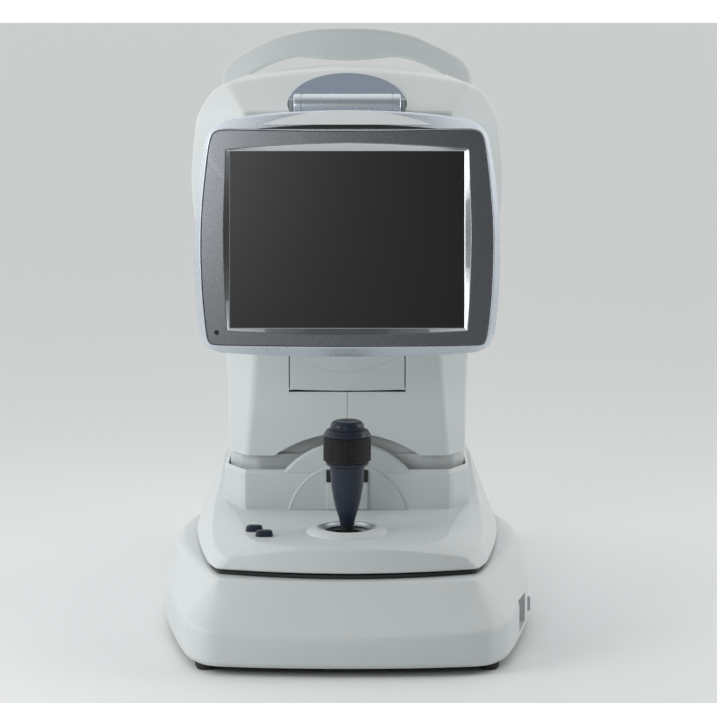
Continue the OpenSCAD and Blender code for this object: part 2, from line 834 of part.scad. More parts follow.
module printer_door() {
    color("#c7cdcc") {
        difference() {
            block([-door_half, -78, door_low], [door_half, -75.4, door_high]);
            both() block([door_half - 4, -75.9, door_low - 1], [door_half + 1, -75, 186]);
        }
        translate([0, door_axis_y, door_axis_z]) both() x_rod(2, 40, 47.8);
    }
}

// ---------- display ----------

// A slab of a display outline, from one depth behind the face to another
module slab(p, d0, d1) {
    rotate([90, 0, 0]) translate([0, 0, -d1]) linear_extrude(d1 - d0) polygon(p);
}

// The outside of the display's back shell, or its inside when drawn in by t
module back_form(t) {
    hull() {
        slab([for (q = bezel_edge) q * (0.992 - t / 90)], 13.2 - t / 10, 19 - t);
        slab([for (q = bezel_edge) q * (0.78 - t / 90)], 35 - t, 37 - t);
    }
}

module display_bezel() {
    color("#8f9aa3") on_display() difference() {
        hull() {
            slab(face_edge, 0, 1);
            slab(bezel_edge, 9, 13);
        }
        translate([-92, -5, -70]) cube([184, 40, 141]);
        slab([for (q = face_edge) q * 0.97], 3, 16);
        translate([-95.5, 0, -68]) y_rod(3.6, -2, 20);
    }
}

module display_back() {
    color("#98a3ac") on_display() difference() {
        back_form(0);
        back_form(2.6);
        for (x = [-50:10:50]) translate([x - 2, 25, -52]) cube([4, 20, 26]);
    }
}

module lcd_panel() {
    color("#26282b") on_display() {
        translate([-91.6, 3.4, -69.6]) cube([183.2, 7, 140.2]);
        translate([-screen_w / 2, 2.2, -screen_h / 2]) cube([screen_w, 1.4, screen_h]);
    }
}

module hinge_arm() {
    color("#7c8b9c") difference() {
        union() {
            translate([0, hinge_y, hinge_z]) x_rod(2 * hinge_r, -40, 40);
            block([-34, hinge_y - 8, 372], [34, hinge_y + 1, hinge_z]);
        }
        translate([0, hinge_y, hinge_z]) x_rod(5 + 2 * run_gap, -50, 50);
        on_display() back_form(0);
        on_display() slab(bezel_edge, 0, 14);
    }
}

base_cover();
base_pan();
base_feet();
base_frame();
slide_racks();
friction_plate();
port_panel();
power_inlet();
power_switch();
power_supply();
main_board();
base_screws();
stage_lock_knob();
chin_motor();
chinrest_column();
chin_screw();
chin_post();
chin_cup();
face_frame();
forehead_pad();
eye_level_marks();
carriage_yoke();
cross_rods();
pinion_axle();
stage_plate();
stage_cover();
tower_insert();
joystick_bezel();
joystick_socket();
gimbal_ring();
joystick_stick();
joystick_grip();
height_ring();
joystick_crown();
measure_button();
chin_up_button();
chin_down_button();
lift_rails();
lift_motor();
lead_screw();
neck_sleeve();
head_chassis();
head_cover_left();
head_cover_right();
hinge_cover();
hinge_brackets();
optics_barrel();
objective_lens();
mire_ring();
nose_bezel();
camera_module();
source_module();
printer_body();
paper_roll();
platen_roller();
printer_door();
display_bezel();
display_back();
lcd_panel();
hinge_arm();
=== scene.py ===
"""The visible model of a table-top eye-measuring instrument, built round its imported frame.

Each sub-assembly is a class with its sizes in millimetres. It builds its pieces, gives them
their finishes and ties them to the frame's bodies and nodes. X is to the operator's right, Y
runs from the operator to the patient, Z is up.
"""

import json
import logging
import math
from dataclasses import dataclass
from enum import Enum
from typing import Callable, Sequence

import bmesh
import bpy
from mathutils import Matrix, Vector

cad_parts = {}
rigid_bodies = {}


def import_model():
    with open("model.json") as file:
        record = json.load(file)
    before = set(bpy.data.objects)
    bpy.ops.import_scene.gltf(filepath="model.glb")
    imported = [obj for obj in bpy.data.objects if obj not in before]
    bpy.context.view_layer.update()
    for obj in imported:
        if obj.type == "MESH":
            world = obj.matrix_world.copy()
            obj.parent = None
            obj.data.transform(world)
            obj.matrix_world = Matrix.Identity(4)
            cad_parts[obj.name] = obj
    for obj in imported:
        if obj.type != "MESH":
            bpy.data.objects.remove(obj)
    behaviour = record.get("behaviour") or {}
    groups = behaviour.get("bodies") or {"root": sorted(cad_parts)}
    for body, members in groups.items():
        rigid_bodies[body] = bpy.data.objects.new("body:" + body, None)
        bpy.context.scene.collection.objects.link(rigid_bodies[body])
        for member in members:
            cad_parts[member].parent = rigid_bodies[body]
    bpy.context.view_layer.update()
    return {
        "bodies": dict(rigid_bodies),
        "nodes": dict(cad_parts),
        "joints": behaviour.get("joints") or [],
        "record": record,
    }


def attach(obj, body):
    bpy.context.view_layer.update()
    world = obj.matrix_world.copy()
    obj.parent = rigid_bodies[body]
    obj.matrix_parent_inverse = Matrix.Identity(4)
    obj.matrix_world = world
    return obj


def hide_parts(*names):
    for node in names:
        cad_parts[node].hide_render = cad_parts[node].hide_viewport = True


LOG = logging.getLogger("instrument")
MM = 0.001
MERGE = 0.000001
Point = tuple[float, float, float]
Control = tuple[float, float, float, float]
Ring = list[Point]
Piece = bpy.types.Object


# ---------- workbench ----------


def clear_selection() -> None:
    """Leaves edit mode and deselects everything."""
    if bpy.context.object is not None and bpy.context.object.mode != "OBJECT":
        bpy.ops.object.mode_set(mode="OBJECT")
    bpy.ops.object.select_all(action="DESELECT")


def activate(piece: Piece) -> None:
    """Makes one piece the only selected and active one."""
    clear_selection()
    piece.select_set(True)
    bpy.context.view_layer.objects.active = piece


def named(piece: Piece, name: str) -> Piece:
    """Gives a piece and its mesh one name and returns it."""
    piece.name = name
    piece.data.name = name
    return piece


def settle(piece: Piece, angle: float = 38.0, weighted: bool = True) -> Piece:
    """Bakes a piece's place into its mesh and gives it clean normals.

    Args:
        piece: The finished piece.
        angle: Edges sharper than this many degrees stay sharp.
        weighted: Whether large faces keep flat shading next to small roundings.

    Returns:
        The same piece, with its object at the origin.
    """
    activate(piece)
    bpy.ops.object.transform_apply(location=True, rotation=True, scale=True)
    bpy.ops.object.mode_set(mode="EDIT")
    bpy.ops.mesh.select_all(action="SELECT")
    bpy.ops.mesh.remove_doubles(threshold=2 * MERGE)
    bpy.ops.mesh.normals_make_consistent(inside=False)
    bpy.ops.object.mode_set(mode="OBJECT")
    bpy.ops.object.shade_smooth_by_angle(angle=math.radians(angle))
    if weighted:
        modify(piece, "WEIGHTED_NORMAL", keep_sharp=True)
    return piece


def modify(piece: Piece, kind: str, **settings: object) -> None:
    """Adds a modifier with the given settings and applies it."""
    activate(piece)
    bpy.ops.object.modifier_add(type=kind)
    modifier = piece.modifiers[-1]
    for key, value in settings.items():
        setattr(modifier, key, value)
    bpy.ops.object.modifier_apply(modifier=modifier.name)


def soften(piece: Piece, width: float, angle: float = 32.0, segments: int = 2) -> Piece:
    """Rounds a piece's sharp edges by a width in millimetres and returns it."""
    modify(piece, "BEVEL", width=width * MM, segments=segments, limit_method="ANGLE",
           angle_limit=math.radians(angle), use_clamp_overlap=True, harden_normals=False)
    return piece


def combine(piece: Piece, other: Piece, operation: str = "DIFFERENCE") -> Piece:
    """Cuts, joins or crosses a piece with another, which is used up, and returns the piece."""
    modify(piece, "BOOLEAN", operation=operation, solver="EXACT", object=other)
    bpy.data.objects.remove(other)
    return piece


def joined(name: str, pieces: Sequence[Piece]) -> Piece:
    """Joins pieces into one object of the given name."""
    clear_selection()
    for piece in pieces:
        piece.select_set(True)
    bpy.context.view_layer.objects.active = pieces[0]
    bpy.ops.object.join()
    return named(bpy.context.object, name)


def duplicate(piece: Piece, name: str) -> Piece:
    """A copy of a piece with its own mesh."""
    activate(piece)
    bpy.ops.object.duplicate(linked=False)
    return named(bpy.context.object, name)


def loft(name: str, rings: Sequence[Ring], ends: str = "capped") -> Piece:
    """A body drawn through rings of matching points.

    Args:
        name: The piece's name.
        rings: The rings in order, in millimetres, each with the same number of points.
        ends: "capped" closes both ends and "joined" ties the last ring to the first.

    Returns:
        The new piece.
    """
    clear_selection()
    count = len(rings[0])
    if ends == "joined":
        rings = [*rings, rings[0]]
    bpy.ops.mesh.primitive_circle_add(vertices=count, radius=1.0, fill_type="NOTHING")
    piece = named(bpy.context.object, name)
    bpy.ops.object.mode_set(mode="EDIT")
    mesh = bmesh.from_edit_mesh(piece.data)
    mesh.verts.ensure_lookup_table()
    for vertex, point in zip(mesh.verts, rings[0]):
        vertex.co = Vector(point) * MM
    places = {tuple(v.co): v.index for v in mesh.verts}
    bmesh.update_edit_mesh(piece.data)
    bpy.ops.mesh.select_all(action="SELECT")
    for ring in rings[1:]:
        bpy.ops.mesh.extrude_region()
        mesh = bmesh.from_edit_mesh(piece.data)
        moved = {}
        for vertex in mesh.verts:
            if vertex.select:
                number = places[tuple(vertex.co)]
                vertex.co = Vector(ring[number]) * MM
                moved[tuple(vertex.co)] = number
        places = moved
        bmesh.update_edit_mesh(piece.data)
    last = (len(rings) - 1) * count
    if ends == "capped":
        for low, high in ((0, count), (last, last + count)):
            select_vertices(piece, lambda v: low <= v.index < high)
            bpy.ops.mesh.edge_face_add()
    bpy.ops.mesh.select_all(action="SELECT")
    bpy.ops.mesh.remove_doubles(threshold=MERGE)
    bpy.ops.mesh.select_all(action="SELECT")
    bpy.ops.mesh.normals_make_consistent(inside=False)
    bpy.ops.object.mode_set(mode="OBJECT")
    return piece


def select_vertices(piece: Piece, wanted: Callable[[bmesh.types.BMVert], bool]) -> None:
    """Selects the vertices, and what they span, of a piece in edit mode."""
    bpy.ops.mesh.select_all(action="DESELECT")
    mesh = bmesh.from_edit_mesh(piece.data)
    mesh.verts.index_update()
    for vertex in mesh.verts:
        vertex.select = wanted(vertex)
    mesh.select_flush(True)
    bmesh.update_edit_mesh(piece.data)


def corner(before: Vector, at: Vector, after: Vector, reach: float, steps: int) -> list[Vector]:
    """Points of a rounded corner.

    Args:
        before: The neighbour that the line comes from.
        at: The corner.
        after: The neighbour that the line goes to.
        reach: How far from the corner the rounding starts, in millimetres.
        steps: How many pieces the rounding has.

    Returns:
        The points, one more than the steps.
    """
    start = at.lerp(before, min(reach / max((before - at).length, 1e-6), 0.49))
    end = at.lerp(after, min(reach / max((after - at).length, 1e-6), 0.49))
    return [start * (1 - t) ** 2 + at * 2 * t * (1 - t) + end * t * t
            for t in (i / steps for i in range(steps + 1))]


def symmetric(half: Sequence[Control], steps: int = 4) -> Ring:
    """A closed outline with rounded corners from its right half.

    Args:
        half: Points (x, y, z, reach) from the front middle to the rear middle.
        steps: How many pieces each rounding has.

    Returns:
        The ring, in millimetres.
    """
    left = [(-x, y, z, r) for x, y, z, r in reversed(half[1:-1])]
    return outline([*half, *left], steps)


def outline(points: Sequence[Control], steps: int = 4) -> Ring:
    """A closed outline with rounded corners from (x, y, z, reach) points."""
    spots = [Vector(p[:3]) for p in points]
    ring = []
    for i, spot in enumerate(spots):
        after = spots[(i + 1) % len(spots)]
        ring += [tuple(q) for q in corner(spots[i - 1], spot, after, max(points[i][3], 0.05),
            steps)]
    return ring


def stacked(keys: Sequence[tuple[Ring, float]], steps: int = 3) -> list[Ring]:
    """Rings with rounded transitions from key rings.

    Args:
        keys: Pairs of a ring and how far from it the rounding starts, in millimetres.
        steps: How many pieces each rounding has.

    Returns:
        The rings, with the first and the last as they are.
    """
    rings = [keys[0][0]]
    for (low, _), (ring, reach), (high, _) in zip(keys, keys[1:], keys[2:]):
        rows = [corner(Vector(a), Vector(p), Vector(b), max(reach, 0.03), steps)
                for a, p, b in zip(low, ring, high)]
        rings += [[tuple(row[i]) for row in rows] for i in range(steps + 1)]
    return [*rings, keys[-1][0]]


def drawn_in(ring: Ring, inward: float, lower: float = 0.0) -> Ring:
    """A ring moved in by a wall's thickness and down, both in millimetres."""
    result = []
    for i, (x, y, z) in enumerate(ring):
        tangent = Vector(ring[(i + 1) % len(ring)][:2]) - Vector(ring[i - 1][:2])
        tangent.normalize()
        result.append((x - tangent.y * inward, y + tangent.x * inward, z - lower))
    return result


def bored(ring: Ring, centre_y: float, radius: float, z: float) -> Ring:
    """A round hole's ring at a height about (0, centre_y), point for point with a ring."""
    result = []
    for x, y, _ in ring:
        size = math.hypot(x, y - centre_y)
        result.append((radius * x / size, centre_y + radius * (y - centre_y) / size, z))
    return result


def turned(name: str, profile: Sequence[tuple[float, float]], at: Point, axis: str = "Z",
           steps: int = 96) -> Piece:
    """A lathe-turned solid.

    Args:
        name: The piece's name.
        profile: A closed outline of (radius, height) points in millimetres.
        at: Where the axis's origin is, in millimetres.
        axis: The direction that heights are measured in, "X", "Y" or "Z".
        steps: How many pieces the turn has.

    Returns:
        The new piece.
    """
    way = {"X": (1, 0, 0), "Y": (0, 1, 0), "Z": (0, 0, 1)}[axis]
    clear_selection()
    bpy.ops.mesh.primitive_circle_add(vertices=len(profile), fill_type="NOTHING")
    piece = named(bpy.context.object, name)
    bpy.ops.object.mode_set(mode="EDIT")
    mesh = bmesh.from_edit_mesh(piece.data)
    for vertex, (radius, height) in zip(mesh.verts, profile):
        spot = {"X": (height, radius, 0), "Y": (radius, height, 0), "Z": (radius, 0, height)}
        vertex.co = (Vector(spot[axis]) + Vector(at)) * MM
    bmesh.update_edit_mesh(piece.data)
    bpy.ops.mesh.select_all(action="SELECT")
    bpy.ops.mesh.spin(steps=steps, angle=math.tau, center=Vector(at) * MM, axis=way)
    bpy.ops.mesh.select_all(action="SELECT")
    bpy.ops.mesh.remove_doubles(threshold=4 * MERGE)
    bpy.ops.mesh.normals_make_consistent(inside=False)
    bpy.ops.object.mode_set(mode="OBJECT")
    return piece


def prism(name: str, points: Sequence[tuple[float, float]], axis: str, low: float,
          high: float) -> Piece:
    """A straight solid with the given outline.

    Args:
        name: The piece's name.
        points: The outline in the other two axes, in their alphabetical order, in millimetres.
        axis: The direction that the solid is drawn along, "X", "Y" or "Z".
        low: Where it starts on that axis.
        high: Where it ends.

    Returns:
        The new piece.
    """
    def place(a: float, b: float, c: float) -> Point:
        """A point from its outline coordinates and its place on the axis."""
        return {"X": (c, a, b), "Y": (a, c, b), "Z": (a, b, c)}[axis]

    return loft(name, [[place(a, b, c) for a, b in points] for c in (low, high)])


def box(name: str, low: Point, high: Point, edge: float = 0.0) -> Piece:
    """A block between two corners, its edges rounded by a width in millimetres."""
    piece = prism(name, [(low[0], low[1]), (high[0], low[1]), (high[0], high[1]),
                         (low[0], high[1])], "Z", low[2], high[2])
    return soften(piece, edge) if edge else piece


def rod(name: str, radius: float, at: Point, axis: str, length: float, sides: int = 96,
        edge: float = 0.0) -> Piece:
    """A round bar from a point along an axis, its rims rounded by a width."""
    circle = [(radius * math.cos(math.tau * i / sides), radius * math.sin(math.tau * i / sides))
              for i in range(sides)]
    shift = {"X": (at[1], at[2], at[0]), "Y": (at[0], at[2], at[1]), "Z": at}[axis]
    piece = prism(name, [(a + shift[0], b + shift[1]) for a, b in circle], axis, shift[2],
                  shift[2] + length)
    return soften(piece, edge) if edge else piece


def lozenge(half_run: float, radius: float, at: tuple[float, float], sides: int = 24) -> list:
    """An oval outline with round ends and straight sides along X."""
    right = [(half_run + radius * math.cos(a), radius * math.sin(a)) for a in
             (math.pi * (i / sides - 0.5) for i in range(sides + 1))]
    return [(x + at[0], y + at[1]) for x, y in [*right, *[(-x, -y) for x, y in right]]]


# ---------- finishes ----------


class Grain(Enum):
    """How a finish's fine surface looks: (pattern scale per metre, stretch, bump depth in mm)."""

    MOULDED = (2600.0, (1, 1, 1), 0.010)
    PAINTED = (2400.0, (1, 1, 1), 0.0004)
    CAST = (700.0, (1, 1, 1), 0.05)
    BRUSHED = (1500.0, (0.03, 1, 1), 0.006)
    DRAWN = (1800.0, (1, 1, 0.03), 0.006)
    RUBBER = (1800.0, (1, 1, 1), 0.03)
    POLISHED = (3000.0, (1, 1, 1), 0.00002)
    FIBRE = (2200.0, (1, 0.3, 1), 0.012)


@dataclass(frozen=True)
class Finish:
    """A surface finish, in a maker's terms."""

    name: str
    colour: str
    roughness: float
    grain: Grain = Grain.MOULDED
    metallic: float = 0.0
    shade: float = 0.05
    wear: float = 0.06
    coat: float = 0.0
    transmission: float = 0.0
    emission: float = 0.0
    specular: float = 0.5
    tracks: bool = False

    def tint(self, factor: float = 1.0) -> tuple[float, float, float, float]:
        """The finish's colour in linear light, times a factor."""
        parts = [int(self.colour[i:i + 2], 16) / 255 for i in (1, 3, 5)]
        linear = [c / 12.92 if c <= 0.04045 else ((c + 0.055) / 1.055) ** 2.4 for c in parts]
        return (*[min(c * factor, 1.0) for c in linear], 1.0)

    def material(self) -> bpy.types.Material:
        """The finish's node material, made once.

        Returns:
            The material, with colour, roughness and bump from patterns in object space.
        """
        title = f"{self.name}_finish"
        found = bpy.data.materials.get(title)
        if found is not None:
            return found
        material = bpy.data.materials.new(title)
        material.use_nodes = True
        nodes, links = material.node_tree.nodes, material.node_tree.links
        shader = nodes["Principled BSDF"]
        scale, stretch, depth = self.grain.value
        where = nodes.new("ShaderNodeTexCoord")
        mapping = nodes.new("ShaderNodeMapping")
        mapping.inputs["Scale"].default_value = stretch
        links.new(where.outputs["Object"], mapping.inputs["Vector"])

        def noise(size: float, detail: float, source: bpy.types.NodeSocket) -> bpy.types.Node:
            """A noise pattern of the given scale."""
            node = nodes.new("ShaderNodeTexNoise")
            node.inputs["Scale"].default_value = size
            node.inputs["Detail"].default_value = detail
            links.new(source, node.inputs["Vector"])
            return node

        def spread(source: bpy.types.NodeSocket, low: float, high: float, a: float,
                   b: float) -> bpy.types.NodeSocket:
            """A value moved from one range to another."""
            node = nodes.new("ShaderNodeMapRange")
            for socket, value in (("From Min", low), ("From Max", high), ("To Min", a),
                                  ("To Max", b)):
                node.inputs[socket].default_value = value
            links.new(source, node.inputs["Value"])
            return node.outputs["Result"]

        def mixed(factor: bpy.types.NodeSocket, first: object, second: object,
                  ) -> bpy.types.NodeSocket:
            """Two colours mixed by a factor, each a colour or a socket."""
            node = nodes.new("ShaderNodeMix")
            node.data_type = "RGBA"
            links.new(factor, node.inputs[0])
            for socket, value in ((node.inputs[6], first), (node.inputs[7], second)):
                if isinstance(value, tuple):
                    socket.default_value = value
                else:
                    links.new(value, socket)
            return node.outputs[2]

        broad = noise(14.0, 3.0, where.outputs["Object"])
        fine = noise(scale, 2.0, mapping.outputs["Vector"])
        colour = mixed(spread(broad.outputs["Fac"], 0.35, 0.65, 0.0, 1.0),
                       self.tint(1 - self.shade), self.tint(1 + self.shade))
        if self.tracks:
            lanes = nodes.new("ShaderNodeTexBrick")
            lanes.inputs["Scale"].default_value = 180.0
            lanes.inputs["Mortar Size"].default_value = 0.03
            links.new(where.outputs["Object"], lanes.inputs["Vector"])
            colour = mixed(lanes.outputs["Fac"], colour, self.tint(0.45))
        if self.wear:
            edges = nodes.new("ShaderNodeNewGeometry")
            worn = spread(edges.outputs["Pointiness"], 0.53, 0.62, 0.0, self.wear * 5)
            colour = mixed(worn, colour, self.tint(1.0 + 6 * self.wear))
        links.new(colour, shader.inputs["Base Color"])
        links.new(spread(fine.outputs["Fac"], 0.3, 0.7, self.roughness * 0.92,
                         self.roughness * 1.08), shader.inputs["Roughness"])
        bump = nodes.new("ShaderNodeBump")
        bump.inputs["Strength"].default_value = 0.6
        bump.inputs["Distance"].default_value = depth * MM
        links.new(fine.outputs["Fac"], bump.inputs["Height"])
        links.new(bump.outputs["Normal"], shader.inputs["Normal"])
        shader.inputs["Metallic"].default_value = self.metallic
        shader.inputs["Specular IOR Level"].default_value = self.specular
        shader.inputs["Coat Weight"].default_value = self.coat
        shader.inputs["Coat Roughness"].default_value = 0.08
        shader.inputs["Transmission Weight"].default_value = self.transmission
        if self.emission:
            shader.inputs["Emission Color"].default_value = self.tint()
            shader.inputs["Emission Strength"].default_value = self.emission
        return material


FINISHES = {finish.name: finish for finish in (Finish("housing", "#d6dcdc", 0.42, Grain.MOULDED,
    shade=0.012, wear=0.03), Finish("housing_insert", "#d0d6d6", 0.45, Grain.MOULDED, shade=0.015,
    wear=0.03), Finish("pan_paint", "#3b3f42", 0.55, Grain.PAINTED), Finish("foot_rubber",
    "#2a2a2b", 0.75, Grain.RUBBER, wear=0.02), Finish("cast_aluminium", "#9aa0a3", 0.48,
    Grain.CAST, metallic=0.9), Finish("steel", "#c3c7ca", 0.24, Grain.DRAWN, metallic=1.0),
    Finish("steel_dark", "#5a5f64", 0.35, Grain.PAINTED, metallic=0.9), Finish("sheet_steel",
    "#9ba0a3", 0.38, Grain.BRUSHED, metallic=0.95), Finish("black_plastic", "#1f2123", 0.42,
    Grain.MOULDED), Finish("switch_plastic", "#141517", 0.30, Grain.MOULDED),
    Finish("circuit_board", "#2c6541", 0.40, Grain.FIBRE, coat=0.4, tracks=True),
    Finish("knob_metal", "#a9aeb2", 0.30, Grain.BRUSHED, metallic=1.0), Finish("motor_metal",
    "#4d5155", 0.42, Grain.DRAWN, metallic=0.8), Finish("white_plastic", "#eef1f3", 0.38,
    Grain.MOULDED, shade=0.015), Finish("white_silicone", "#e2e3e0", 0.60, Grain.RUBBER,
    shade=0.02), Finish("mark_print", "#3a3f43", 0.50, Grain.PAINTED), Finish("satin_ring",
    "#c4c8cb", 0.22, Grain.BRUSHED, metallic=1.0), Finish("slate_grip", "#2b3240", 0.27,
    Grain.MOULDED, shade=0.03, specular=0.22), Finish("slate_button", "#2b323f", 0.25,
    Grain.MOULDED, shade=0.03, specular=0.25), Finish("knurl_rubber", "#0f1013", 0.30,
    Grain.RUBBER, wear=0.05, specular=0.8), Finish("hinge_blue", "#7b899a", 0.42, Grain.MOULDED,
    metallic=0.2, shade=0.02), Finish("black_anodised", "#2a2c2f", 0.34, Grain.PAINTED,
    metallic=0.7), Finish("lens_glass", "#b7d3de", 0.03, Grain.POLISHED, transmission=0.85,
    coat=1.0, wear=0.0), Finish("mire_white", "#ece9da", 0.35, Grain.MOULDED, shade=0.01,
    emission=0.05), Finish("paper", "#f0efe9", 0.80, Grain.FIBRE, shade=0.02),
    Finish("display_face", "#909499", 0.27, Grain.PAINTED, metallic=0.9, shade=0.02),
    Finish("display_silver", "#d2dae2", 0.28, Grain.PAINTED, metallic=0.6, shade=0.02),
    Finish("screen_black", "#060708", 0.31, Grain.POLISHED, shade=0.02, wear=0.0, specular=0.8),)}


def dress(piece: Piece, slot: str, body: str, *nodes: str) -> Piece:
    """Gives a piece its finish, its body and the nodes that it stands for.

    Args:
        piece: The finished piece.
        slot: The name of its finish and of the record's material slot.
        body: The body that it rides on.
        nodes: The frame's nodes that it replaces.

    Returns:
        The same piece.
    """
    piece.data.materials.clear()
    piece.data.materials.append(FINISHES[slot].material())
    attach(piece, body)
    if nodes:
        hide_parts(*nodes)
    LOG.info("%s on %s, %d faces", piece.name, body, len(piece.data.polygons))
    return piece


# ---------- base ----------


@dataclass
class Base:
    """The base's moulded cover with the well that the stage moves over."""

    low_half: tuple = ((0, -252), (60, -249.5), (104, -243.5), (118, -222), (126, -190),
        (134, -150), (139.5, -118), (142.8, -68), (141, -25), (132, 15), (117, 46), (108, 74),
        (108, 150), (108, 230), (100, 246.5), (80, 251.9), (0, 251.9))
    shoulder_half: tuple = ((0, -226), (55, -223.5), (92, -217.5), (99, -214), (110, -182),
        (121, -145), (128.5, -115), (136, -68), (135.5, -25), (127, 14), (113, 44), (107.5, 72),
        (107.4, 150), (107.4, 230), (99.6, 245.8), (80, 251), (0, 251))
    well_half: tuple = ((0, -194), (25, -194), (50, -194), (74, -194), (74, -170), (74, -140),
        (74, -105), (74, -68), (74, -25), (74, 15), (74, 38), (74, 60), (60, 60), (45, 60),
        (30, 60), (15, 60), (0, 60))
    reaches: tuple = (30, 26, 12, 7, 16, 16, 20, 24, 24, 20, 12, 8, 30, 9, 8, 12, 30)
    belt_front: float = 28.0
    wall: float = 3.0

    def ring(self, half: Sequence, z: float | Sequence[float], reach: float = 1.0) -> Ring:
        """One outline of the cover at a height, or at one height for each point."""
        heights = [z] * len(half) if isinstance(z, (int, float)) else z
        return symmetric([(x, y, h, r * reach) for (x, y), h, r in
                          zip(half, heights, self.reaches)])

    def belt(self) -> list[float]:
        """The crease's height at each outline point, low in front and higher at the sides."""
        return [self.belt_front, 29.0, 31.5, 34.5, 35.5, 36.0, 36.5, 37, 37.5, 38, 39, 40, 40,
                40, 40, 40, 40]

    def shell(self) -> Piece:
        """The cover as one closed wall.

        Returns:
            The cover, with its recesses cut.
        """
        top = [58.2, 58.4, 58.6, 58.8, 59.2, 59.6, 60, 60.4, 60.6, 60.4, 59.4, 58, 57.6, 57.6,
               57.6, 57.6, 57.6]
        crown = [63.9] * 10 + [63.6, 62.4] + [62] * 5
        low = self.ring(self.low_half, 8.8)
        foot = drawn_in(self.ring(self.low_half, 6.3), 2.4)
        belt = self.ring(self.low_half, self.belt())
        shoulder = self.ring(self.shoulder_half, top)
        deck = drawn_in(self.ring(self.shoulder_half, crown), 5.0)
        rim = drawn_in(self.ring(self.well_half, [64.0] * 10 + [63.9, 63.6] + [62.1] * 5, 0.02),
                       -9.0)
        well = self.ring(self.well_half, [64.0] * 11 + [63.9] * 6, 0.02)
        sill = self.ring(self.well_half, [61.0] * 11 + [60.9] * 6, 0.02)
        keys = [(foot, 0), (low, 1.6), (belt, 3.2), (shoulder, 4.5), (deck, 3.5), (rim, 0.3),
            (drawn_in(well, -0.8), 0.3), (drawn_in(well, 0.0, 0.8), 0.3), (sill, 0.1),
            (drawn_in(deck, self.wall, self.wall), 1.0), (drawn_in(shoulder, self.wall, 1.5), 1.0),
            (drawn_in(belt, self.wall), 1.0), (drawn_in(foot, 1.2), 0)]
        cover = loft("base_housing", stacked(keys), "joined")
        tub = combine(box("tub", (112.5, -190, 10), (150, -135, 46)), loft("form",
            [drawn_in(ring, 1.0) for ring in (low, belt, shoulder)]), "INTERSECT")
        combine(cover, tub, "UNION")
        recess = prism("recess", [(-174, 13), (-139, 13), (-139, 35.5), (-174, 37.5)], "X",
                       117.1, 150)
        combine(cover, soften(recess, 1.6, segments=3))
        for low, high, top_z in ((-166.5, -149.5, 28), (-148.2, -140.6, 34.2)):
            combine(cover, box("port_cut", (112, low, 17.6), (120, high, top_z), 1.0))
        combine(cover, box("inlet_cut", (-90, 238, 14), (-24, 260, 46), 1.0))
        combine(cover, rod("knob_cut", 7.4, (124, -100, 17), "X", 30))
        combine(cover, rod("column_cut", 12.0, (0, 208, 40), "Z", 40))
        return cover

    def build(self) -> None:
        """Builds and dresses the cover and its feet."""
        dress(settle(self.shell(), 30), "housing", "base", "base_cover")
        feet = []
        for x, y in ((103.5, -224), (-103.5, -224), (86, 226), (-86, 226)):
            feet.append(turned("foot", [(0, 0.02), (5.6, 0.02), (6.6, 0.4), (7.4, 1.6), (8, 4.2),
                (8, 8), (0, 8), (0, 6)], (x, y, 0), steps=40))
        dress(settle(joined("rubber_feet", feet)), "foot_rubber", "base", "base_feet")


# ---------- moving stage ----------


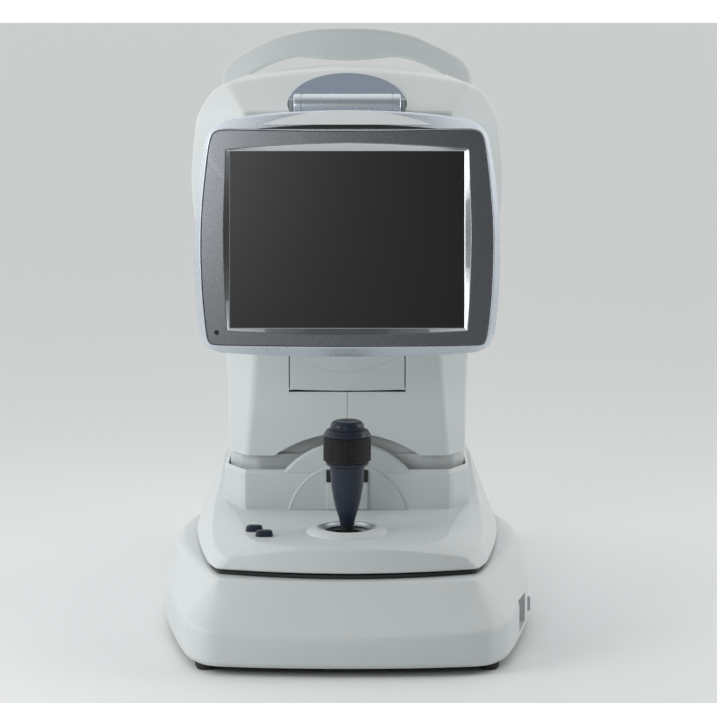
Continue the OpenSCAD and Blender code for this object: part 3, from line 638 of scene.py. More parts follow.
@dataclass
class Stage:
    """The stage's deck and tower, with the joystick's bezel and the chin buttons."""

    skirt_half: tuple = ((0, -217), (34, -214.6), (66, -208.4), (97, -199), (104, -180),
        (110.5, -140), (114.5, -110), (118.5, -70), (119.4, -52), (119.9, -25), (119.8, 0),
        (119.2, 20), (118, 40), (113, 75), (100, 99), (50, 106.5), (0, 107.9))
    skirt_z: tuple = (69.6, 69.6, 69.4, 69.0, 68.7, 68.4, 68.1, 67.8) + (67.4,) * 9
    ridge_half: tuple = ((0, -216.2), (30, -214), (60, -208), (89, -199), (99, -180),
        (103.5, -140), (105, -110), (105.4, -70), (105.4, -52), (105, -25), (104, 0), (103, 20),
        (102.4, 40), (101, 75), (95, 98), (50, 103.6), (0, 104))
    ridge_z: tuple = (87.3, 86.0, 82.4, 76.9, 79.6, 82, 83.4, 86, 88.2, 91.6, 97, 103.6, 110.6,
                      111, 108, 104, 104)
    crown_half: tuple = ((0, -213.4), (24, -211.4), (47, -205), (66, -194), (75, -174), (79, -142),
        (81, -112), (84, -82), (92, -58), (96.4, -25), (96.6, 0), (96.6, 20), (96.6, 40),
        (96.2, 75), (91, 94), (50, 101), (0, 101))
    crown_z: tuple = (87.35, 87.15, 87.0, 86.9, 86.9, 87, 87.2, 87.5, 88.4, 92.0, 97.3, 104.0,
                      111.0, 111.4, 109, 105, 105)
    tower_half: tuple = ((0, -79), (26, -79), (54, -79), (80, -79), (84, -74.5), (88, -67.5),
        (92, -60.5), (97, -52), (97, -38), (97, -20), (97, 0), (97, 20), (97, 40), (97, 92),
        (82, 103), (41, 103), (0, 103))
    tower_z: tuple = (87.0, 87.0, 87.1, 87.4, 87.6, 87.9, 88.2, 88.7, 90.3, 92.8, 97.5, 104.2,
                      111.2, 111.4, 109, 105, 105)
    top: float = 118.6
    stick_y: float = -158.0
    buttons: tuple = ((-70, -155), (-62, -172))

    def ring(self, half: Sequence, z: float | Sequence[float], reach: float = 1.0) -> Ring:
        """One outline of the stage at a height, or at one height for each point."""
        heights = [z] * len(half) if isinstance(z, (int, float)) else z
        reaches = (16, 14, 12, 5, 9, 14, 14, 14, 10, 12, 12, 10, 8, 10, 6, 20, 20)
        return symmetric([(x, y, h, r * reach) for (x, y), h, r in zip(half, heights, reaches)])

    def shell(self) -> Piece:
        """The deck and tower as one closed wall with its openings cut."""
        skirt = self.ring(self.skirt_half, self.skirt_z)
        ridge = self.ring(self.ridge_half, self.ridge_z)
        crown = self.ring(self.crown_half, self.crown_z)
        tower_foot = self.ring(self.tower_half, self.tower_z, 0.2)
        tower_top = self.ring(self.tower_half, self.top, 0.2)
        keys = [(drawn_in(skirt, 1.0, 1.1), 0), (skirt, 0.5), (ridge, 1.6), (crown, 2.2),
            (tower_foot, 0.7), (drawn_in(tower_top, 0.0, 3.0), 0.4), (drawn_in(tower_top, 2.0),
            0.4), (drawn_in(tower_top, 2.9), 0.3), (drawn_in(tower_top, 3.1, 4), 0.5),
            (drawn_in(tower_foot, 3.0, 3.0), 0.5), (drawn_in(crown, 1.3, 3.1), 0.5),
            (drawn_in(ridge, 3.0, 3.2), 0.5), (drawn_in(skirt, 3.2, 1.1), 0)]
        cover = loft("stage_deck", stacked(keys), "joined")
        combine(cover, rod("stick_cut", 20.0, (0, self.stick_y, 70), "Z", 30))
        for spot in self.buttons:
            combine(cover, prism("button_cut", lozenge(2.3, 4.5, spot), "Z", 75, 100))
        return cover

    def arch(self) -> Piece:
        """The half-round plate on the tower's front, with a turned step in its face."""
        crest = turned("arch_plate", [(40, -79.0), (62.0, -79.0), (63.4, -77.9), (64.0, -76.6),
            (40, -76.6)], (0, 0, 77), "Y", 160)
        combine(crest, box("below", (-80, -90, 0), (80, -60, 116.4)))
        disc = turned("disc", [(0, -79.9), (44.2, -79.9), (45.6, -80.5), (46.6, -80.4),
                               (47.2, -79.8), (47.3, -76.8), (0, -76.8)], (0, 0, 77), "Y", 160)
        combine(disc, box("below", (-80, -90, 0), (80, -60, 87.2)))
        return combine(crest, disc, "UNION")

    def gap_shadow_sheet(self) -> None:
        """A black sheet in the gap between the stage and the base, which paints that gap's dark
        shadow.
        """
        skirt = self.ring(self.skirt_half, 66.9)
        keys = [(drawn_in(skirt, 2.4, 2.5), 0), (drawn_in(skirt, 2.2, 2.2), 0.1),
                (drawn_in(skirt, 2.2), 0.1), (drawn_in(skirt, 9.0), 0.1),
                (drawn_in(skirt, 9.0, 2.5), 0)]
        # The black sheet is painted shadow in the gap under the stage.
        dress(settle(loft("painted_gap_shadow", stacked(keys, 2), "joined")), "black_plastic", "stage")

    def knurled_buttons(self) -> None:
        """The two oval buttons beside the joystick."""
        for spot, name, body in zip(self.buttons, ("chin_up", "chin_down"),
                                    ("chin_up", "chin_down")):
            def oval(grow: float, z: float) -> Ring:
                """The button's outline at a height."""
                return [(x, y, z) for x, y in lozenge(2.3, 4.0 + grow, spot)]
            keys = [(oval(0, 80.5), 0), (oval(1.5, 80.5), 0.2), (oval(1.5, 81.7), 0.2),
                    (oval(0, 81.8), 0.2), (oval(0.1, 88.2), 0.5), (oval(-0.2, 90.6), 0.8),
                    (oval(-1.2, 91.4), 0.6), (oval(-2.8, 91.6), 0.6), (oval(-3.8, 91.6), 0)]
            button = loft(name + "_key", stacked(keys))
            dress(settle(button), "slate_grip", body, name + "_button")

    def bezel(self) -> None:
        """The raised ring round the joystick and its satin liner."""
        at = (0, self.stick_y, 0)
        ring = turned("joystick_bezel_ring", [(21.2, 87.02), (30.6, 87.02), (30.4, 87.7),
            (29.0, 88.9), (26.2, 90.6), (24.0, 91.25), (22.4, 91.3), (21.4, 90.9), (21.2, 90.3)],
            at)
        dress(settle(ring), "housing", "stage", "joystick_bezel")
        liner = turned("joystick_liner", [(16.3, 87.3), (16.2, 88.1), (17.4, 88.5), (18.6, 89.3),
            (19.7, 90.6), (20.6, 90.9), (21.1, 90.5), (21.1, 87.3)], at)
        dress(settle(liner), "satin_ring", "stage")

    def build(self) -> None:
        """Builds and dresses the stage's own pieces."""
        dress(settle(self.shell(), 30), "housing", "stage", "stage_cover")
        dress(settle(self.arch(), 30), "housing_insert", "stage")
        insert = box("insert", (-16, -81.6, 87.3), (16, -79.0, 109.0), 0.7)
        dress(settle(insert), "housing_insert", "stage", "tower_insert")
        slot = box("tower_slot", (-16.4, -81.0, 109.1), (16.4, -79.0, 118.9), 0.5)
        dress(settle(slot), "black_plastic", "stage")
        self.gap_shadow_sheet()
        self.bezel()
        self.knurled_buttons()


# ---------- joystick ----------


@dataclass
class Joystick:
    """The joystick's grip, knurled height ring, crown and button."""

    at: Point = (0, -158, 0)
    columns: int = 60
    rows: int = 14
    tip: float = 17.95
    root: float = 16.95
    bore: float = 12.3
    low: float = 141.4
    high: float = 160.4

    def knurl(self) -> Piece:
        """The height ring, with rows of pointed grips all round."""
        def ring(z: float, tip: float, root: float) -> Ring:
            """One ring of teeth at a height, each tooth two points wide."""
            points = []
            for i in range(self.columns * 4):
                radius = tip if i % 4 in (1, 2) else root
                angle = math.tau * (i + (0.25 if i % 4 in (1, 3) else -0.25)) / (self.columns * 4)
                points.append((radius * math.cos(angle), self.at[1] + radius * math.sin(angle), z))
            return points
        pitch = (self.high - self.low - 0.8) / self.rows
        rings = [ring(self.low, self.root - 1, self.root - 1),
                 ring(self.low + 0.3, self.root, self.root)]
        for row in range(self.rows):
            z = self.low + 0.4 + row * pitch
            rings += [ring(z + 0.08 * pitch, self.root, self.root), ring(z + 0.3 * pitch, self.tip,
                self.root + 0.05), ring(z + 0.72 * pitch, self.tip, self.root + 0.05), ring(z +
                0.94 * pitch, self.root, self.root)]
        rings += [ring(self.high - 0.3, self.root, self.root),
                  ring(self.high, self.root - 1, self.root - 1)]
        bore = [bored(rings[0], self.at[1], self.bore, z) for z in (self.high, self.low)]
        return loft("height_ring_knurl", [*rings, *bore], "joined")

    def build(self) -> None:
        """Builds and dresses the joystick's pieces."""
        grip = turned("joystick_handle", [(0, 92.1), (4.6, 92.1), (5.3, 92.6), (5.6, 95),
            (6.6, 98.6), (7.6, 101.4), (8.6, 104.8), (9.5, 108.5), (10.3, 112.4), (11.0, 116.4),
            (11.6, 120), (12.1, 124), (12.5, 129), (12.8, 135), (13.2, 137.4), (14.6, 138.1),
            (15.7, 138.8), (16.0, 139.6), (16.0, 140.7), (15.7, 140.98), (0, 140.98)], self.at)
        stem = turned("stem", [(0, 140.9), (11.9, 140.9), (11.9, 160.7), (3.1, 160.7),
                               (3.1, 146), (0, 146)], self.at, steps=64)
        dress(settle(joined("joystick_handle", [grip, stem]), 30), "slate_grip", "joystick",
              "joystick_grip")
        dress(settle(self.knurl(), 25, False), "knurl_rubber", "ring", "height_ring")
        crown = turned("joystick_collar", [(13.1, 162.1), (13.1, 165.2), (13.4, 165.5),
            (14.9, 165.4), (15.6, 165.0), (17.5, 162.1), (17.85, 161.5), (17.7, 160.9),
            (3.1, 160.9), (3.1, 162.1)], self.at)
        dress(settle(crown, 30), "slate_button", "joystick", "joystick_crown")
        button = turned("measure_key", [(0, 164.9), (12.4, 164.9), (12.7, 165.4), (12.72, 167.4),
            (12.5, 168.6), (11.9, 169.9), (10.9, 171.1), (9.7, 171.8), (8.8, 171.99), (8.0, 171.8),
            (4.0, 171.2), (0, 171.0)], self.at)
        shaft = turned("shaft", [(0, 150.1), (2.9, 150.1), (2.96, 150.3), (2.96, 165), (0, 165)],
                       self.at, steps=40)
        dress(settle(joined("measure_key", [button, shaft]), 30), "slate_button", "trigger",
              "measure_button")


# ---------- head ----------


@dataclass
class Head:
    """The measuring head's two covers, its neck, nose and printer door."""

    skin: float = 2.6
    axis_z: float = 340.0
    sections: tuple = (
        (130.0, 79, 94, -78, -52, 100, 2), (131.0, 79, 94, -78, -52, 100, 1),
        (180.0, 74.5, 94, -78, -52, 100, 8), (211.0, 72, 96, -78, -52, 102, 8),
        (232.5, 70.5, 98.5, -78, -52, 104, 5), (272.0, 75, 110, -112, -62, 132, 7),
        (304.0, 79, 118, -119, -62, 140, 12), (345.0, 80, 122.4, -121, -62, 139.9, 26),
        (392.0, 79, 117, -122, -62, 138, 5), (400.2, 78, 113, -121.6, -60, 134, 4))
    crest_half: tuple = ((0, -50, 429.6), (48, -54, 426.2), (93, -62, 419.2), (105, -44, 413.4),
        (105.4, 30, 413), (104, 96, 412), (94, 109, 413), (50, 111, 422), (0, 112, 426.5))
    spine_half: tuple = ((0, -26, 430), (34, -26, 428.4), (68, -26, 424.6), (82, -10, 422),
        (82, 30, 421.8), (80, 60, 421.4), (70, 84, 421.6), (36, 88, 426.6), (0, 88, 429.4))

    def ring(self, section: Sequence[float], inward: float = 0.0) -> Ring:
        """One level's outline, drawn in by a wall."""
        z, front, side, y0, corner_y, y1, _ = section
        half = [(0, y0, 20), (front * 0.55, y0, 14), (front, y0, 4), (side, corner_y, 5),
                (side, 20, 20), (side, y1 - 12, 5), (side - 15, y1, 5), (side * 0.45, y1, 14),
                (0, y1, 20)]
        ring = symmetric([(x, y, z, r) for x, y, r in half])
        return drawn_in(ring, inward) if inward else ring

    def body(self, inward: float = 0.0) -> Piece:
        """The head's whole closed form, drawn in by a wall."""
        keys = [(self.ring(s, inward), s[6]) for s in self.sections]
        if inward:
            keys[0] = (self.ring((128.0, *self.sections[0][1:]), inward), 0)
            keys[-1] = (self.ring((398.0, *self.sections[-1][1:]), inward), 3)
        for half, reach in ((self.crest_half, 7), (self.spine_half, 1)):
            ring = symmetric([(x, y, z - inward, r) for (x, y, z), r in
                              zip(half, (20, 14, 5, 6, 20, 6, 6, 14, 20))])
            keys.append((drawn_in(ring, inward) if inward else ring, reach))
        return loft("head_body", stacked(keys))

    def covers(self) -> None:
        """The left and right covers, parted along the middle plane."""
        body = combine(self.body(), self.body(self.skin))
        combine(body, box("bay_cut", (-45.5, -90, 180.3), (45.5, -60, 226.4)))
        combine(body, rod("recess_cut", 45.0, (0, -107, 380), "Z", 60, 128))
        combine(body, box("mouth_cut", (-43.6, -130, 392), (43.6, -100, 440)))
        combine(body, rod("sight_cut", 31.0, (0, 100, self.axis_z), "Y", 60))
        for z in (290, 298, 306, 314):
            for low, high in ((60, 84), (-84, -60)):
                combine(body, box("vent_cut", (low, 126, z), (high, 150, z + 3), 1.2))
        combine(body, rod("arch_cut", 99.3, (0, -100, 48.7), "Y", 60, 161))
        for side, name in ((-1, "left"), (1, "right")):
            half = duplicate(body, f"head_cover_{name}_shell")
            activate(half)
            bpy.ops.object.mode_set(mode="EDIT")
            bpy.ops.mesh.select_all(action="SELECT")
            bpy.ops.mesh.bisect(plane_co=(0.15 * MM * side, 0, 0), plane_no=(side, 0, 0),
                                use_fill=True, clear_inner=True)
            bpy.ops.object.mode_set(mode="OBJECT")
            soften(half, 0.4, 50)
            dress(settle(half, 30), "housing", "head", f"head_cover_{name}")
        bpy.data.objects.remove(body)

    def neck(self) -> None:
        """The sleeve below the head, which slides in the stage's tower."""
        half = [(0, -68, 20), (35, -68, 10), (70, -68, 3), (84, -58, 3), (93, -42, 3),
                (93, 20, 20), (93, 86, 3), (78, 97, 3), (39, 97, 10), (0, 97, 20)]

        def ring(z: float, inward: float = 0.0) -> Ring:
            """The sleeve's outline at a height, drawn in by a wall."""
            return drawn_in(symmetric([(x, y, z, r) for x, y, r in half], 3), inward)
        keys = [(ring(86.1, 0.6), 0), (ring(86.6), 0.3), (ring(129.5), 0.3),
                (ring(129.6, 2.9), 0.2), (ring(152.0, 3.0), 0.2), (ring(152.0, 5.0), 0.2),
                (ring(129.6, 5.2), 0.2), (ring(87.0, 2.4), 0.2), (ring(86.1, 2.0), 0)]
        sleeve = loft("neck_shell", stacked(keys, 2), "joined")
        dress(settle(sleeve), "housing_insert", "head", "neck_sleeve")

    def door(self) -> None:
        """The printer's door with its bowed lower edge and pressed arc."""
        low = [(44.7 * math.sin(a), 182.3 - 0.9 * math.cos(a) ** 2) for a in
               (math.pi * (i / 16 - 0.5) for i in range(17))]
        panel = prism("printer_flap", [(x, z) for x, z in [*low, (44.7, 225.9), (-44.7, 225.9)]],
            "Y", -77.95, -75.5)
        groove = turned("groove", [(65.4, -79), (67.6, -79), (67.0, -77.7), (66.2, -77.7)],
                        (0, 0, 262.6), "Y", 200)
        combine(groove, box("upper", (-90, -90, 224.9), (90, -60, 350)))
        combine(panel, groove)
        soften(panel, 0.35, 50)
        pins = [rod("pin", 0.98, (x, -76.4, 182.6), "X", 6.0, 32) for x in (41.5, -47.5)]
        dress(settle(joined("printer_flap", [panel, *pins])), "housing_insert", "door",
              "printer_door")

    def nose(self) -> None:
        """The measuring nose with its stepped ring, window, lens and light ring."""
        at = (0, 0, self.axis_z)
        bezel = turned("nose_ring", [(26.2, 153.4), (26.1, 158.4), (26.7, 159.2), (30, 159.95),
            (41.2, 159.95), (42.6, 159.6), (48.4, 154.6), (49.2, 153.2), (50.5, 141),
            (50.4, 140.3), (47.6, 140.3), (46.6, 152), (40, 156.6), (31, 156.6), (30, 153.4)], at,
            "Y", 128)
        dress(settle(bezel, 25), "housing", "head", "nose_bezel")
        window = turned("nose_window", [(0, 154.6), (25.9, 154.6), (26.0, 155.1), (25.6, 155.9),
            (0, 155.9)], at, "Y", 96)
        dress(settle(window), "lens_glass", "head")
        lens = turned("front_lens", [(0, 118.3), (8, 118.9), (16, 120.4), (24.3, 123.2),
            (24.3, 127.4), (16, 129.2), (8, 129.8), (0, 130)], at, "Y", 96)
        dress(settle(lens), "lens_glass", "head", "objective_lens")
        ring = turned("light_ring", [(27.2, 141.1), (41.9, 141.1), (41.9, 143.2), (40, 143.6),
            (29, 143.6), (27.2, 143.2)], at, "Y", 96)
        dots = [turned("dot", [(0, 143.5), (2.4, 143.5), (2.3, 144.8), (1.5, 145.7), (0, 145.95)],
                       (34 * math.cos(a), 0, self.axis_z + 34 * math.sin(a)), "Y", 20)
                for a in (math.tau * i / 12 for i in range(12))]
        dress(settle(joined("light_ring", [ring, *dots])), "mire_white", "head", "mire_ring")

    def build(self) -> None:
        """Builds and dresses the head's pieces."""
        self.covers()
        self.neck()
        self.door()
        self.nose()


# ---------- display ----------


@dataclass
class Display:
    """The tilting display with its hinge."""

    centre: Point = (0, -178, 310)
    lean: float = 8.0
    outer_half: tuple = ((0, 95.7), (34, 94.9), (63, 92.8), (93, 88.2), (103.4, 79.6), (106.3, 64),
        (109.4, 44), (111.8, 18), (112.7, -8), (112.0, -36), (110.2, -58), (107.6, -75),
        (97.6, -82.6), (60, -85), (0, -86.1))
    face_half: tuple = ((0, 79.4), (34, 79.6), (66, 80.3), (95, 80.6), (100.0, 76), (102.6, 60),
        (105.4, 34), (107.0, 12), (107.3, -12), (106.2, -38), (104.2, -60), (102.0, -76.4),
        (94, -77.5), (50, -78.2), (0, -78.6))
    open_half: tuple = ((0, 70.6), (30, 69.8), (60, 68.2), (88.6, 66.0), (88.9, 62), (89.3, 45),
        (89.8, 30), (90.4, 14), (90.5, 0), (90.0, -20), (89.0, -45), (87.7, -66.6), (60, -68.0),
        (30, -69.3), (0, -69.9))
    glass_half: tuple = ((0, 64.9), (30, 64.9), (60, 64.9), (86, 64.9), (86, 60), (86, 44),
        (86, 28), (86, 12), (86, -4), (86, -20), (86, -44), (86, -64.7), (60, -64.7), (30, -64.7),
        (0, -64.7))

    def place(self, x: float, depth: float, up: float) -> Point:
        """A point of the display's own frame: right, into the display, up the screen."""
        lean = math.radians(self.lean)
        return (x + self.centre[0],
                self.centre[1] + depth * math.cos(lean) + up * math.sin(lean),
                self.centre[2] - depth * math.sin(lean) + up * math.cos(lean))

    def ring(self, half: Sequence, depth: float, grow: float = 0.0,
             reach: float = 1.0) -> Ring:
        """One outline at a depth behind the face, grown outward by a width.

        Args:
            half: The right half's (x, up) points from the top middle to the bottom middle.
            depth: How far behind the face it lies.
            grow: How far it is moved outward.
            reach: A factor on how far its corners are rounded.

        Returns:
            The ring in the head's frame, in millimetres.
        """
        reaches = (20, 16, 14, 9, 7, 8, 12, 12, 12, 12, 12, 7, 7, 16, 20)
        flat = symmetric([(x, up, 0, r * reach) for (x, up), r in zip(half, reaches)])
        return [self.place(x, depth, up) for x, up, _ in drawn_in(flat, grow)]

    def leaned(self, piece: Piece) -> Piece:
        """Moves a piece modelled as (right, depth, up) into the leaning display."""
        for vertex in piece.data.vertices:
            vertex.co = Vector(self.place(*(vertex.co / MM))) * MM
        return piece

    def frame(self) -> None:
        """The chamfered outer frame, the face plate and the bright strips round the glass."""
        outer, face, opening, glass = (self.outer_half, self.face_half, self.open_half,
            self.glass_half)
        band = [(self.ring(face, 1.4, -0.3), 0), (self.ring(face, 0.0, 0.1), 0.25),
                (self.ring(face, 0.0, 0.9), 0.3), (self.ring(outer, 7.4, -0.9), 1.6),
                (self.ring(outer, 9.2), 1.0), (self.ring(outer, 12.9), 0.3),
                (self.ring(outer, 12.9, -3.0), 0.3), (self.ring(face, 3.0, -0.3), 0)]
        dress(settle(loft("display_band", stacked(band), "joined"), 25), "display_silver",
              "display", "display_bezel")
        plate = [(self.ring(opening, 1.9, 0.1, 0.08), 0), (self.ring(opening, 0.35, 0.1, 0.08),
            0.1), (self.ring(opening, 0.1, 0.5, 0.08), 0.1), (self.ring(face, 0.1, -0.75), 0.1),
            (self.ring(face, 0.5, -0.4), 0.1), (self.ring(face, 1.9, -0.4), 0)]
        sheet = loft("display_plate", stacked(plate), "joined")
        hole = turned("hole", [(0, -2), (1.8, -2), (1.8, 4), (0, 4)], (0, 0, 0), "Y", 40)
        hole.location = Vector(self.place(-95.5, 0, -68)) * MM
        combine(sheet, hole)
        dress(settle(sheet, 25), "display_face", "display")
        sensor = turned("display_sensor", [(0, 0.7), (1.0, 0.7), (1.2, 0.3), (1.7, 0.25),
            (1.75, 0.6), (1.75, 1.6), (0, 1.6)], self.place(-95.5, 0, -68), "Y", 40)
        dress(settle(sensor), "black_plastic", "display")
        strips = [(self.ring(opening, 0.55, 0.0, 0.08), 0), (self.ring(glass, 2.2, 0.5, 0.03),
            0.1), (self.ring(glass, 2.5, 0.0, 0.03), 0.1), (self.ring(glass, 3.2, 0.0, 0.03), 0.1),
            (self.ring(opening, 3.2, 0.0, 0.08), 0.1)]
        dress(settle(loft("display_strips", stacked(strips, 2), "joined"), 25, False),
              "satin_ring", "display")
        pane = self.leaned(box("display_glass", (-86.2, 2.5, -65), (86.2, 9.8, 65.2), 0.3))
        dress(settle(pane, 25), "screen_black", "display", "lcd_panel")

    def badge(self) -> None:
        """The blank lens-shaped plate on the top edge, with a black plate under it that paints the
        shadow below the badge.
        """
        plate = self.lens_shape("display_badge", 62.5, 83.9, 95.0, 0.1, 0.9)
        dress(settle(plate, 30), "white_plastic", "display")
        # A black plate sunk under the badge: painted shadow of the gap beneath it.
        slot = self.lens_shape("display_badge_shadow", 65.4, 80.7, 84.4, 0.02, 0.40)
        dress(settle(slot, 30), "black_plastic", "display")

    def surface(self, x: float, up: float, lift: float = 0.0) -> Point:
        """A point on the frame's upper bevel, lifted off it.

        Args:
            x: Right of the middle.
            up: Up the screen.
            lift: How far in front of the bevel.

        Returns:
            The point in the head's frame.
        """
        low = 79.5 + 1.1 * min(abs(x) / 95, 1) ** 2
        high = 95.7 - 7.5 * (abs(x) / 93) ** 2.2
        depth = 7.4 * min(max((up - low - 0.9) / max(high - low - 1.8, 1.0), 0.0), 1.05)
        return self.place(x, depth - lift, up)

    def lens_shape(self, name: str, half: float, low: float, top: float, under: float,
                   over: float) -> Piece:
        """A thin plate with two tips that lies on the upper bevel.

        Args:
            name: The piece's name.
            half: Half its width.
            low: How far up the screen its lower edge is.
            top: How far up its middle reaches.
            under: How far it is sunk.
            over: How far it stands out.

        Returns:
            The new piece.
        """
        count = 40
        ts = [-1 + 2 * i / count for i in range(count + 1)]
        lower = [(half * t, low + 0.25 * (1 - t * t)) for t in ts]
        upper = [(half * t, low + 0.3 + (top - low - 0.3) * (1 - abs(t) ** 2.2)) for t in
                 reversed(ts)]
        loop = [*lower, *upper]

        def ring(shrink: float, lift: float) -> Ring:
            """The plate's outline, drawn in a little and lifted."""
            middle = low + (top - low) * 0.4
            return [self.surface(x * (1 - shrink / half), middle + (up - middle)
                                 * (1 - shrink / (top - low)), lift) for x, up in loop]
        return loft(name, [ring(0, -under), ring(0, over * 0.6), ring(0.35, over)])

    def shell(self) -> None:
        """The display's back shell with its cooling slots."""
        outer = self.outer_half

        def scaled(factor: float, depth: float) -> Ring:
            """The outline scaled about its middle, at a depth."""
            half = [(x * factor, up * factor) for x, up in outer]
            return self.ring(half, depth)
        keys = [(scaled(0.68, 36.9), 0), (scaled(0.74, 36.8), 1.5), (scaled(0.80, 34.6), 4),
                (scaled(0.99, 18.6), 3), (scaled(0.992, 13.4), 0.2), (scaled(0.985, 13.0), 0.1),
                (scaled(0.955, 13.0), 0.1), (scaled(0.955, 17.4), 2), (scaled(0.75, 33.4), 2),
                (scaled(0.62, 34.4), 0)]
        shell = loft("display_shell", stacked(keys))
        slots = joined("slots", [box("slot", (x - 1.6, 30, -52), (x + 1.6, 45, -26), 0.8) for x in
            range(-50, 51, 10)])
        combine(shell, self.leaned(slots))
        dress(settle(soften(shell, 0.4, 50), 25), "display_silver", "display", "display_back")

    def hinge(self) -> None:
        """The hinge's barrel and neck, and the sloping cover in front of the head."""
        barrel = turned("hinge_barrel", [(0, -39.9), (7.9, -39.9), (8.9, -39.2), (9.0, -38),
            (9.0, -34.6), (8.5, -34.3), (8.5, -33.5), (9.0, -33.2), (9.0, 33.2), (8.5, 33.5),
            (8.5, 34.3), (9.0, 34.6), (9.0, 38), (8.9, 39.2), (7.9, 39.9), (0, 39.9)],
            (0, -131, 405), "X", 96)
        neck = box("neck", (-34, -138.5, 382), (34, -130.5, 403), 1.5)
        # The barrel takes the lighter silver finish to paint a highlight on it.
        dress(settle(joined("hinge_barrel", [barrel, neck]), 30), "display_silver", "display",
              "hinge_arm")
        cover = rod("hinge_lid", 44.2, (0, -107, 385), "Z", 60, 128)
        wedge = prism("wedge", [(-117.3, 401.7), (-62.2, 427.6), (-62.2, 424.2), (-114.5, 399.3)],
                      "X", -60, 60)
        combine(cover, wedge, "INTERSECT")
        combine(cover, rod("barrel_gap", 9.9, (-60, -131, 405), "X", 120))
        # The cover's blue is its own colour, darkened to paint shade on its upward face.
        dress(settle(soften(cover, 0.5, 40), 25), "hinge_blue", "head", "hinge_cover")

    def build(self) -> None:
        """Builds and dresses the display's pieces."""
        self.frame()
        self.badge()
        self.shell()
        self.hinge()


# ---------- patient's side ----------


